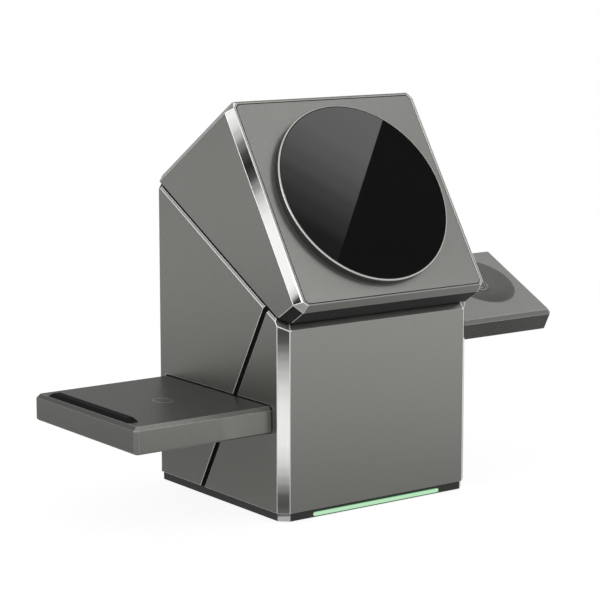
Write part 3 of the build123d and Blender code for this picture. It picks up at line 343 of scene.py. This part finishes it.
def litBar(name, look):
    # Diffuser lit from behind: pale in the middle, greener and darker at its rim
    material, tree, shader = newMaterial(name)
    place = objectPlace(tree)
    offset = calculate(tree, "SUBTRACT", partOf(tree, place, "Z"), look["middleZ"])
    away = calculate(tree, "ABSOLUTE", offset)
    rim = mapRange(tree, away, look["rimStart"], look["rimEnd"], 0, 1)
    ripple = spread(tree, noise(tree, place, look["rippleScale"]), 0, look["ripple"])
    core = mixColours(tree, ripple, look["coreTone"], look["rippleTone"])
    tree.links.new(mixColours(tree, rim, core, look["rimTone"]), shader.inputs["Emission Color"])
    tree.links.new(mixColours(tree, rim, look["bodyTone"], look["rimTone"]), shader.inputs["Base Color"])
    shader.inputs["Emission Strength"].default_value = look["strength"]
    shader.inputs["Roughness"].default_value = look["rough"]
    return material


barLook = {
    "middleZ": 0.00115, "rimStart": 0.00040, "rimEnd": 0.00060, "rimTone": (0.08, 0.34, 0.13),
    "coreTone": (0.47, 0.74, 0.49), "bodyTone": (0.05, 0.08, 0.06),
    "ripple": 0.12, "rippleTone": (0.56, 0.80, 0.58), "rippleScale": 160.0,
    "strength": 1.0, "rough": 0.35,
}
lightDiffuser = litBar("lit diffuser", barLook)

roofLevel = highestAlong("body_housing", swivelAxis)  # the body's cut top, where the gap begins


def edgeLine(name, look):
    # Line of a cut edge, partly painted highlight: near white, milder across the front, and painted shade
    # in black where it lies in the gap under the head
    material, tree, shader = newMaterial(name)
    place = objectPlace(tree)
    side = calculate(tree, "ABSOLUTE", partOf(tree, place, "X"))
    outer = mapRange(tree, side, look["frontHalf"], look["frontHalf"] + look["frontBlend"], 0, 1)
    line = mixColours(tree, outer, look["mild"], look["bright"])
    level = swivelLevel(tree, place)
    # Painted shade: black across the levels of the gap under the head
    above = mapRange(tree, level, look["gapShadeLow"], look["gapShadeLow"] + look["gapShadeBlend"], 0, 1)
    below = mapRange(tree, level, look["gapShadeHigh"], look["gapShadeHigh"] + look["gapShadeBlend"], 1, 0)
    seam = calculate(tree, "MULTIPLY", above, below)
    tree.links.new(mixColours(tree, seam, line, look["dark"]), shader.inputs["Base Color"])
    shader.inputs["Metallic"].default_value = look["metallic"]
    rough = spread(tree, noise(tree, place, look["roughScale"]), look["roughLow"], look["roughHigh"])
    tree.links.new(rough, shader.inputs["Roughness"])
    return material


edgeHighlightLook = {
    "bright": (0.98, 0.98, 0.96), "mild": (0.36, 0.36, 0.345), "dark": (0.006, 0.006, 0.006),
    "frontHalf": 0.0300, "frontBlend": 0.0005,
    "gapShadeLow": roofLevel - 0.0002, "gapShadeHigh": roofLevel + 0.00125, "gapShadeBlend": 0.00005,
    "metallic": 0.65, "roughLow": 0.35, "roughHigh": 0.45, "roughScale": 900.0,
}
cutEdgeHighlightAndShade = edgeLine("cut edge", edgeHighlightLook)


def bevelBand(name, look):
    # Bevel under the head's side, from below: grey, then a light line that is painted highlight, then black
    # that is painted shade at the gap
    material, tree, shader = newMaterial(name)
    place = objectPlace(tree)
    share = mapRange(tree, swivelLevel(tree, place), look["low"], look["high"], 0, 1)
    tree.links.new(colourRamp(tree, share, "CONSTANT", look["bands"]), shader.inputs["Base Color"])
    rough = spread(tree, noise(tree, place, look["roughScale"]), look["roughLow"], look["roughHigh"])
    tree.links.new(rough, shader.inputs["Roughness"])
    shader.inputs["Metallic"].default_value = look["metallic"]
    return material


bevelLook = {
    "low": roofLevel - 0.0008, "high": roofLevel,
    "bands": ((0.0, (0.42, 0.42, 0.41)), (0.46, (0.96, 0.96, 0.94)), (0.64, (0.006, 0.006, 0.006))),
    "metallic": 0.25, "roughLow": 0.40, "roughHigh": 0.50, "roughScale": 900.0,
}
bevelMetal = bevelBand("side bevel", bevelLook)

plainLook = {"darker": 0.8, "roughSpread": 0.05, "grainHeight": 0.00003, "grainStrength": 0.4}


def plainPart(name, tone, metallic, rough, scale):
    # One tone with a fine grain, for cut edges and for the pieces inside
    material, tree, shader = newMaterial(name)
    grain = noise(tree, objectPlace(tree), scale)
    darker = tuple(plainLook["darker"] * channel for channel in tone)
    tree.links.new(mixColours(tree, spread(tree, grain, 0, 1), tone, darker), shader.inputs["Base Color"])
    shader.inputs["Metallic"].default_value = metallic
    half = plainLook["roughSpread"]
    tree.links.new(spread(tree, grain, rough - half, rough + half), shader.inputs["Roughness"])
    addBump(tree, shader, grain, plainLook)
    return material


# Each row gives the tone, how metallic, how rough, and the scale of the grain
cutLooks = {
    # Painted highlight for the nose corner facets
    "nose corner painted highlight": ((0.96, 0.96, 0.94), 0.25, 0.40, 900.0),
    # Tray edge line: a lighter cut edge, partly painted highlight
    "tray cut edge and highlight": ((0.40, 0.40, 0.38), 0.5, 0.35, 900.0),
    # Painted shade for the faces in the gap under the head and at its nose
    "painted gap shade": ((0.006, 0.006, 0.006), 0.0, 0.7, 900.0),
}
noseCornerHighlight, trayEdgeAndHighlight, paintedGapShade = [plainPart(name, *look) for name, look in cutLooks.items()]
print("materials made for the outside")

insideLooks = {
    "steel": ((0.45, 0.45, 0.46), 1.0, 0.35, 800.0),
    "bronze": ((0.42, 0.27, 0.12), 1.0, 0.32, 600.0),
    "board": ((0.010, 0.085, 0.035), 0.0, 0.4, 300.0),
    "chips": ((0.018, 0.018, 0.020), 0.0, 0.5, 1200.0),
    "copper": ((0.62, 0.25, 0.12), 1.0, 0.3, 700.0),
    "ferrite": ((0.045, 0.045, 0.050), 0.0, 0.6, 900.0),
    "magnet": ((0.62, 0.62, 0.62), 1.0, 0.2, 500.0),
    "lead_sleeve": ((0.015, 0.015, 0.016), 0.0, 0.5, 900.0),
    "guide_plastic": ((0.035, 0.035, 0.036), 0.0, 0.5, 900.0),
    "tray_plastic": ((0.030, 0.031, 0.030), 0.0, 0.45, 900.0),
}
insideMaterials = {slot: plainPart(slot.replace("_", " "), *look) for slot, look in insideLooks.items()}
outsideMaterials = {
    "body_housing": bodyMetal, "head_housing": headMetal, "head_base_plate": headMetal,
    "front_panel": panelMetal, "earbud_tray_cover": trayMetal, "watch_tray_cover": watchLitMetal,
    "puck_ring": puckMetal, "glass_disc": puckGlass, "base_cover": skirtPlastic,
    "foot_pad": footRubber, "stop_strip": stripRubber, "light_bar": lightDiffuser,
    "groove_inlay_left": blackInlay, "groove_inlay_right": blackInlay,
}
slotOf = {entry["node"]: entry["material_slot"] for entry in frame["record"]["subparts"]}
for name, piece in nodes.items():
    material = outsideMaterials.get(name) or insideMaterials[slotOf[name]]
    piece.data.materials.clear()
    piece.data.materials.append(material)
print("materials on every node")

# Facets and bevels, found by the way they face. The head's directions are as with the head closed.
facets = {
    "corner": Vector((0.6931, 0.7208, 0)),
    "plateSide": Vector((0.802, 0, 0.597)),
    "noseCorner": Vector((0.63, 0.69, 0.36)),
    "apexCorner": Vector((0.73, -0.43, 0.53)),
    "bodyTop": Vector((0.7071, -0.3374, 0.6214)),
}
watchSlope = radians(27)
watchTop = Vector((0, -sin(watchSlope), cos(watchSlope)))
watchLevel = highestAlong("watch_tray_cover", watchTop) / millimetre

# Where one finish gives way to another: cosines of directions, and places in millimetres
paintLook = {
    "facetMatch": 0.996,  # how closely a face has to follow a facet's direction
    "bodyRoof": 0.98,  # the cut top of the body, which lies in the gap
    "bevelLeast": 0.3, "bevelMost": 0.97, "bevelAbove": 50,  # narrow bevels below the gap
    "headSide": 29,  # the head's long facets lie further out than this
    "headFloor": -0.3,  # the head's faces around the gap, and the narrow one at its nose
    "puckWallShade": 0.4,  # faces that go round the puck
    "watchBevel": -0.93, "watchBevelUp": 0.2,  # bevel along the watch tray's front edge
    "dishUp": 0.8, "dishFlat": 0.9999, "dishSunk": 0.05,
    "watchFront": -0.85, "watchFrontDown": -0.3,  # the watch tray's end below that bevel
}


def facesAlong(direction, names):
    # Mirrored left to right, and front to back where the facet is
    for name in names:
        facet = facets[name]
        tries = [facet, Vector((-facet.x, facet.y, facet.z))]
        if name == "corner":
            tries += [Vector((t.x, -t.y, t.z)) for t in tries]
        if any(direction.dot(t) > paintLook["facetMatch"] for t in tries):
            return True
    return False


def onCorner(facing, place):
    return facesAlong(facing, ("corner",))


def onBodyTop(facing, place):
    return facesAlong(facing, ("bodyTop",))


def onBodyBevel(facing, place):
    sloped = paintLook["bevelLeast"] < facing.dot(swivelAxis) < paintLook["bevelMost"]
    return sloped and not onBodyTop(facing, place) and place.z > paintLook["bevelAbove"]


def onBodyRoof(facing, place):
    return facing.dot(swivelAxis) > paintLook["bodyRoof"]


def onHeadFacet(facing, place):
    beside = abs(place.x) > paintLook["headSide"]
    return beside and facesAlong(facing, ("corner", "plateSide", "apexCorner"))


def onNoseCorner(facing, place):
    return facesAlong(facing, ("noseCorner",))


def onHeadFloor(facing, place):
    return facing.dot(swivelAxis) < paintLook["headFloor"]


def onPuckWall(facing, place):
    return abs(facing.z) < paintLook["puckWallShade"]


def onWatchBevel(facing, place):
    return facing.y < paintLook["watchBevel"] and facing.z > paintLook["watchBevelUp"]


def inWatchDish(facing, place):
    # Faces up, but is curved or lies below the tray's top
    up = facing.dot(watchTop)
    curved = up < paintLook["dishFlat"]
    sunk = place.dot(watchTop) < watchLevel - paintLook["dishSunk"]
    return up > paintLook["dishUp"] and (curved or sunk)


def onWatchFront(facing, place):
    return facing.y < paintLook["watchFront"] and facing.z < paintLook["watchFrontDown"]


def paintFaces(node, material, chosen, turned=False):
    # Gives one more material to the faces that are chosen by direction and place
    mesh = nodes[node].data
    mesh.materials.append(material)
    count = 0
    for face in mesh.polygons:
        facing = closedDirection(face.normal) if turned else face.normal
        if chosen(facing, face.center / millimetre):
            face.material_index = len(mesh.materials) - 1
            count += 1
    print("painted", node, material.name, count, "faces")


# A later line paints over an earlier one
paintFaces("body_housing", facetMetal, onCorner)
# Grey, painted highlight and painted shade in bands on the body's side bevel
paintFaces("body_housing", bevelMetal, onBodyTop)
paintFaces("base_cover", facetMetal, onCorner)
# Painted shade on the body's front bevel
paintFaces("body_housing", shadedMetal, onBodyBevel)
# Painted shade on the body's cut top, in the gap
paintFaces("body_housing", paintedGapShade, onBodyRoof)
paintFaces("head_housing", facetMetal, onHeadFacet, turned=True)
# Painted highlight on the head's nose corner facets
paintFaces("head_housing", noseCornerHighlight, onNoseCorner, turned=True)
# Painted shade on the head's faces around the gap and on its nose face, which also shows black with the
# head closed
paintFaces("head_housing", paintedGapShade, onHeadFloor, turned=True)
# Painted shade on the puck's wall
paintFaces("puck_ring", puckWallShade, onPuckWall, turned=True)
# Painted shade on the watch tray's front bevel
paintFaces("watch_tray_cover", shadedMetal, onWatchBevel)
# Painted shade in the watch dish
paintFaces("watch_tray_cover", dishShadeMetal, inWatchDish)
# Painted shade on the watch tray's front end
paintFaces("watch_tray_cover", watchFrontShadeMetal, onWatchFront)

# Widths are in millimetres. A line is the material of the bevel itself.
edges = {
    "body_housing": {"width": 0.16, "line": cutEdgeHighlightAndShade, "dissolve": True},
    "head_housing": {"width": 0.14, "line": cutEdgeHighlightAndShade},
    "front_panel": {"width": 0.08},
    "earbud_tray_cover": {"width": 0.15, "line": trayEdgeAndHighlight},
    "watch_tray_cover": {"width": 0.15, "line": trayEdgeAndHighlight},
    "puck_ring": {"width": 0.10},
    "base_cover": {"width": 0.10},
    "stop_strip": {"width": 0.10},
}
bevelRules = {"weld": 0.001, "flatWithin": 0.5, "sharpFrom": 20, "segments": 2, "weight": 100}


def softenEdges(node, look):
    # Sharp edges catch a thin line of light, which a line material brightens further with painted highlight
    piece = nodes[node]
    weld = piece.modifiers.new("weld", "WELD")
    weld.merge_threshold = bevelRules["weld"] * millimetre
    if look.get("dissolve"):
        # Joins the triangles of a flat side, which would leave faint lines in the bevel
        flats = piece.modifiers.new("flats", "DECIMATE")
        flats.decimate_type = "DISSOLVE"
        flats.angle_limit = radians(bevelRules["flatWithin"])
        flats.delimit = {"MATERIAL"}
    bevel = piece.modifiers.new("edges", "BEVEL")
    bevel.width = look["width"] * millimetre
    bevel.segments = bevelRules["segments"]
    bevel.limit_method = "ANGLE"
    bevel.angle_limit = radians(bevelRules["sharpFrom"])
    bevel.use_clamp_overlap = False  # clamped, the shortest edge of the mesh would set the width
    if "line" in look:
        piece.data.materials.append(look["line"])
        bevel.material = len(piece.data.materials) - 1
    smooth = piece.modifiers.new("normals", "WEIGHTED_NORMAL")
    smooth.weight = bevelRules["weight"]


for node, look in edges.items():
    softenEdges(node, look)
print("edges softened")


def addObject(name, data):
    piece = bpy.data.objects.new(name, data)
    bpy.context.scene.collection.objects.link(piece)
    return piece


# Faint mark on the earbud tray, in millimetres: a plain rounded outline
markLook = {
    "middle": (-53.2, -2.5), "raise": 0.02,
    "long": 6.4, "across": 4.6, "line": 0.32, "radius": 1.6,
}
trayTop = highestAlong("earbud_tray_cover", Vector((0, 0, 1))) / millimetre


def roundedOutline(halfX, halfY, radius, steps=6):
    points = []
    for cornerX, cornerY, start in ((1, 1, 0), (-1, 1, 90), (-1, -1, 180), (1, -1, 270)):
        for step in range(steps + 1):
            turn = radians(start + 90 * step / steps)
            x = cornerX * (halfX - radius) + radius * cos(turn)
            y = cornerY * (halfY - radius) + radius * sin(turn)
            points.append((x, y))
    return points


def makeMark(look):
    mesh = bpy.data.meshes.new("earbudMark")
    build = bmesh.new()
    halfX = look["across"] / 2
    halfY = look["long"] / 2
    line = look["line"]
    outer = roundedOutline(halfX, halfY, look["radius"])
    inner = roundedOutline(halfX - line, halfY - line, look["radius"] - line)
    midX, midY = look["middle"]
    # The flat band, below and above
    for level in (0.0, look["raise"]):
        z = (trayTop + level) * millimetre
        rings = []
        for outline in (outer, inner):
            spots = [((midX + x) * millimetre, (midY + y) * millimetre, z) for x, y in outline]
            rings.append([build.verts.new(spot) for spot in spots])
        around, within = rings
        count = len(around)
        for i in range(count):
            j = (i + 1) % count
            face = (around[i], around[j], within[j], within[i])
            build.faces.new(face if level else face[::-1])
    # Its outer and inner walls
    build.verts.ensure_lookup_table()
    for ring in range(2):
        low = ring * count
        high = (ring + 2) * count
        for i in range(count):
            j = (i + 1) % count
            face = [build.verts[k] for k in (low + i, low + j, high + j, high + i)]
            build.faces.new(face if ring == 0 else face[::-1])
    build.to_mesh(mesh)
    build.free()
    mark = addObject("earbudMark", mesh)
    mesh.materials.append(puckMetal)
    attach(mark, "earbud_tray")


makeMark(markLook)
print("mark on the earbud tray")

# Camera: fitted to the photograph
cameraLook = {
    "place": (-0.36298, -0.49090, 0.15816), "target": (-0.00413, 0.0, 0.05537),
    "lens": 127.471, "sensor": 36.0, "clipStart": 0.01, "clipEnd": 60.0,
}


def aimAt(piece, place, target):
    piece.location = place
    piece.rotation_euler = (Vector(target) - Vector(place)).to_track_quat("-Z", "Y").to_euler()


def makeCamera(look):
    data = bpy.data.cameras.new("camera")
    data.lens = look["lens"]
    data.sensor_width = look["sensor"]
    data.clip_start = look["clipStart"]
    data.clip_end = look["clipEnd"]
    camera = addObject("camera", data)
    aimAt(camera, look["place"], look["target"])
    bpy.context.scene.camera = camera


makeCamera(cameraLook)

lamps = {
    "key": {"place": (0.80, -0.72, 0.90), "size": 0.35, "watts": 0.85},
    "left": {"place": (-1.2, -0.1, 0.6), "size": 0.8, "watts": 3.0},
}
lampTarget = (0, 0, 0.05)


def makeLamp(name, look):
    data = bpy.data.lights.new(name, "AREA")
    data.energy = look["watts"]
    data.size = look["size"]
    aimAt(addObject(name, data), look["place"], lampTarget)


for name, look in lamps.items():
    makeLamp(name, look)

# Cards seen only in reflections. Each is laid out by where it shows on one flat mirror face, with
# places in millimetres. "stops" are brightnesses from one end of that face to the other.
glassFace = {
    "spot": (-1.7, -24.93, 89.16), "normal": (0, -0.8387, 0.5446), "along": (0.623, 0.426, 0.656),
    "reach": (-36, 36), "distance": 0.4,
}
cards = {
    "glassBright": dict(
        glassFace, sides=(-60, 0.0), strength=2.65,
        stops=(
            (0.0, 0.02), (0.22, 0.095), (0.32, 0.23), (0.42, 0.38), (0.5, 0.59), (0.61, 0.80),
            (0.7, 0.95), (0.85, 1.0),
        ),
    ),
    "glassDark": dict(glassFace, sides=(0.0, 60), strength=0.09, stops=((0.0, 1.0), (1.0, 1.0))),
    "headFacet": {
        "spot": (-32.6, -22.2, 87.1), "normal": (-0.802, -0.5007, 0.3251), "along": (0, 0.5446, 0.8387),
        "reach": (-32, 32), "sides": (-9, 9), "distance": 0.3, "strength": 1.15,
        "stops": (
            (0.0, 0.02), (0.045, 0.03), (0.085, 0.78), (0.12, 1.0), (0.4, 1.0), (0.45, 0.94),
            (0.5, 0.80), (0.55, 0.60), (0.6, 0.28), (0.65, 0.065), (0.7, 0.023), (0.75, 0.06),
            (0.8, 0.19), (0.85, 0.53), (0.9, 0.82), (0.95, 0.97), (1.0, 0.72),
        ),
    },
    "bodyFlat": {
        "spot": (-32.2, -30.75, 28.0), "normal": (-0.6931, -0.7208, 0), "along": (0, 0, 1),
        "reach": (-28, 28), "sides": (-7, 7), "distance": 0.012, "strength": 1.05,
        "stops": (
            (0.0, 0.33), (0.05, 0.125), (0.09, 0.09), (0.13, 0.11), (0.17, 0.24), (0.21, 0.41),
            (0.255, 0.60), (0.30, 0.77), (0.34, 0.88), (0.40, 0.97), (0.5, 0.99), (0.58, 0.94),
            (0.66, 0.80), (0.745, 0.60), (0.785, 0.485), (0.83, 0.35), (0.87, 0.215), (0.91, 0.106),
            (0.95, 0.077), (1.0, 0.077),
        ),
    },
    "rightFacet": {
        "spot": (32.6, -22.2, 87.1), "normal": (0.802, -0.5007, 0.3251), "along": (0, 0.5446, 0.8387),
        "reach": (-45, 45), "sides": (-25, 25), "distance": 0.3, "strength": 0.3,
        "stops": ((0.0, 1.0), (1.0, 0.8)),
    },
}
cardCorners = ((0, 0), (1, 0), (1, 1), (0, 1))


def glossyOnly(card):
    card.visible_camera = False
    card.visible_diffuse = False
    card.visible_transmission = False
    card.visible_volume_scatter = False
    card.visible_shadow = False


def glowing(tree, strength, colour=None):
    glow = addNode(tree, "ShaderNodeEmission", {"Strength": strength})
    if colour is not None:
        tree.links.new(colour, glow.inputs["Color"])
    return glow.outputs[0]


def cardMaterial(name, look):
    material, tree, output = bareMaterial(name)
    place = tree.nodes.new("ShaderNodeUVMap").outputs["UV"]
    greys = [(spot, (shade, shade, shade)) for spot, shade in look["stops"]]
    shade = colourRamp(tree, partOf(tree, place, "X"), "EASE", greys)
    tree.links.new(glowing(tree, look["strength"], shade), output.inputs["Surface"])
    return material


def makeCard(name, look):
    # The corners are cast from the camera's mirror image, through the face, onto the card
    eye = Vector(cameraLook["place"])
    spot = Vector(look["spot"]) * millimetre
    normal = Vector(look["normal"]).normalized()
    along = Vector(look["along"]).normalized()
    across = normal.cross(along)
    mirrored = eye - 2 * (eye - spot).dot(normal) * normal
    towards = (spot - mirrored).normalized()
    reach = (spot - mirrored).length + look["distance"]
    corners = []
    for u, v in cardCorners:
        facePlace = spot + along * look["reach"][u] * millimetre - across * look["sides"][v] * millimetre
        ray = facePlace - mirrored
        corners.append(mirrored + ray * (reach / ray.dot(towards)))
    mesh = bpy.data.meshes.new(name)
    mesh.from_pydata(corners, [], [(0, 1, 2, 3)])
    uv = mesh.uv_layers.new(name="UVMap")
    for loop, corner in zip(uv.data, cardCorners):
        loop.uv = corner
    card = addObject(name, mesh)
    mesh.materials.append(cardMaterial(name, look))
    glossyOnly(card)


for name, look in cards.items():
    makeCard(name, look)

# A plain grey card far behind, so that level and side faces do not go white
backCard = {"x": 0.1, "y": 0.75, "width": 2.4, "foot": 0.001, "height": 1.2, "shade": 0.34}


def makeBackCard(look):
    left = look["x"] - look["width"] / 2
    right = look["x"] + look["width"] / 2
    outline = ((left, look["foot"]), (right, look["foot"]), (right, look["height"]), (left, look["height"]))
    mesh = bpy.data.meshes.new("backCard")
    mesh.from_pydata([(x, look["y"], z) for x, z in outline], [], [(0, 1, 2, 3)])
    card = addObject("backCard", mesh)
    material, tree, output = bareMaterial("grey card")
    tree.links.new(glowing(tree, look["shade"]), output.inputs["Surface"])
    mesh.materials.append(material)
    glossyOnly(card)


makeBackCard(backCard)


def seenDirectly(tree):
    # 1 for the rays that show the background: from the camera, and off metal or glass
    path = tree.nodes.new("ShaderNodeLightPath")
    total = path.outputs["Is Camera Ray"]
    for output in ("Is Glossy Ray", "Is Transmission Ray"):
        total = calculate(tree, "MAXIMUM", total, path.outputs[output])
    return total


worldLook = {"colour": (1, 1, 1), "fill": 0.40, "background": 1.0}


def makeWorld(look):
    world = bpy.data.worlds.new("studio")
    world.use_nodes = True
    tree = world.node_tree
    background = tree.nodes["Background"]
    background.inputs["Color"].default_value = (*look["colour"], 1)
    strength = mapRange(tree, seenDirectly(tree), 0, 1, look["fill"], look["background"])
    tree.links.new(strength, background.inputs["Strength"])
    bpy.context.scene.world = world


# Distances in metres. The floor is white to the camera from "far" on, and lights the object less.
floorLook = {
    "radius": 40.0, "sides": 64, "bounceTone": (0.18, 0.18, 0.18), "white": 1.0,
    "nearTone": (0.26, 0.26, 0.26), "glow": 0.90, "near": 0.14, "far": 0.40,
    "mirrorNear": 0.08, "mirrorFar": 0.50, "turn": 0.25,
    "behindNear": (0.26, 0.26, 0.26), "behindFar": (1.0, 1.0, 1.0),
    "beforeNear": (0.72, 0.72, 0.72), "beforeFar": (1.22, 1.22, 1.22),
}


def mixShaders(tree, factor, first, second):
    mixed = tree.nodes.new("ShaderNodeMixShader")
    for value, socket in zip((factor, first, second), mixed.inputs):
        tree.links.new(value, socket)
    return mixed.outputs[0]


def matt(tree, tone):
    return addNode(tree, "ShaderNodeBsdfDiffuse", {"Color": (*tone, 1)}).outputs[0]


def shownFloor(tree, look, away):
    # Near the object it takes the shadow, and further out it is plain white
    nearby = tree.nodes.new("ShaderNodeAddShader")
    tree.links.new(matt(tree, look["nearTone"]), nearby.inputs[0])
    tree.links.new(glowing(tree, look["glow"]), nearby.inputs[1])
    far = mapRange(tree, away, look["near"], look["far"], 0, 1)
    return mixShaders(tree, far, nearby.outputs[0], glowing(tree, look["white"]))


def mirroredFloor(tree, look, place, away):
    # Painted shade and light seen in the metal: the mirrored floor darkens towards the object's foot, more
    # so behind it, and rises above white further out in front
    share = mapRange(tree, away, look["mirrorNear"], look["mirrorFar"], 0, 1)
    behind = mixColours(tree, share, look["behindNear"], look["behindFar"])
    before = mixColours(tree, share, look["beforeNear"], look["beforeFar"])
    across = calculate(tree, "SUBTRACT", partOf(tree, place, "X"), partOf(tree, place, "Y"))
    side = mapRange(tree, across, -look["turn"], look["turn"], 0, 1)
    return glowing(tree, look["white"], mixColours(tree, side, behind, before))


def floorMaterial(look):
    material, tree, output = bareMaterial("white floor")
    place = tree.nodes.new("ShaderNodeTexCoord").outputs["Object"]
    distance = tree.nodes.new("ShaderNodeVectorMath")
    distance.operation = "LENGTH"
    tree.links.new(place, distance.inputs[0])
    away = distance.outputs["Value"]
    bounced = matt(tree, look["bounceTone"])
    direct = mixShaders(tree, seenDirectly(tree), bounced, shownFloor(tree, look, away))
    path = tree.nodes.new("ShaderNodeLightPath")
    mirrored = mirroredFloor(tree, look, place, away)
    surface = mixShaders(tree, path.outputs["Is Glossy Ray"], direct, mirrored)
    tree.links.new(surface, output.inputs["Surface"])
    return material


def makeFloor(look):
    mesh = bpy.data.meshes.new("floor")
    build = bmesh.new()
    bmesh.ops.create_circle(build, cap_ends=True, radius=look["radius"], segments=look["sides"])
    build.to_mesh(mesh)
    build.free()
    floor = addObject("floor", mesh)
    mesh.materials.append(floorMaterial(look))


makeWorld(worldLook)
makeFloor(floorLook)
bpy.context.scene.view_settings.view_transform = "Standard"
print("camera, lamps and floor placed")
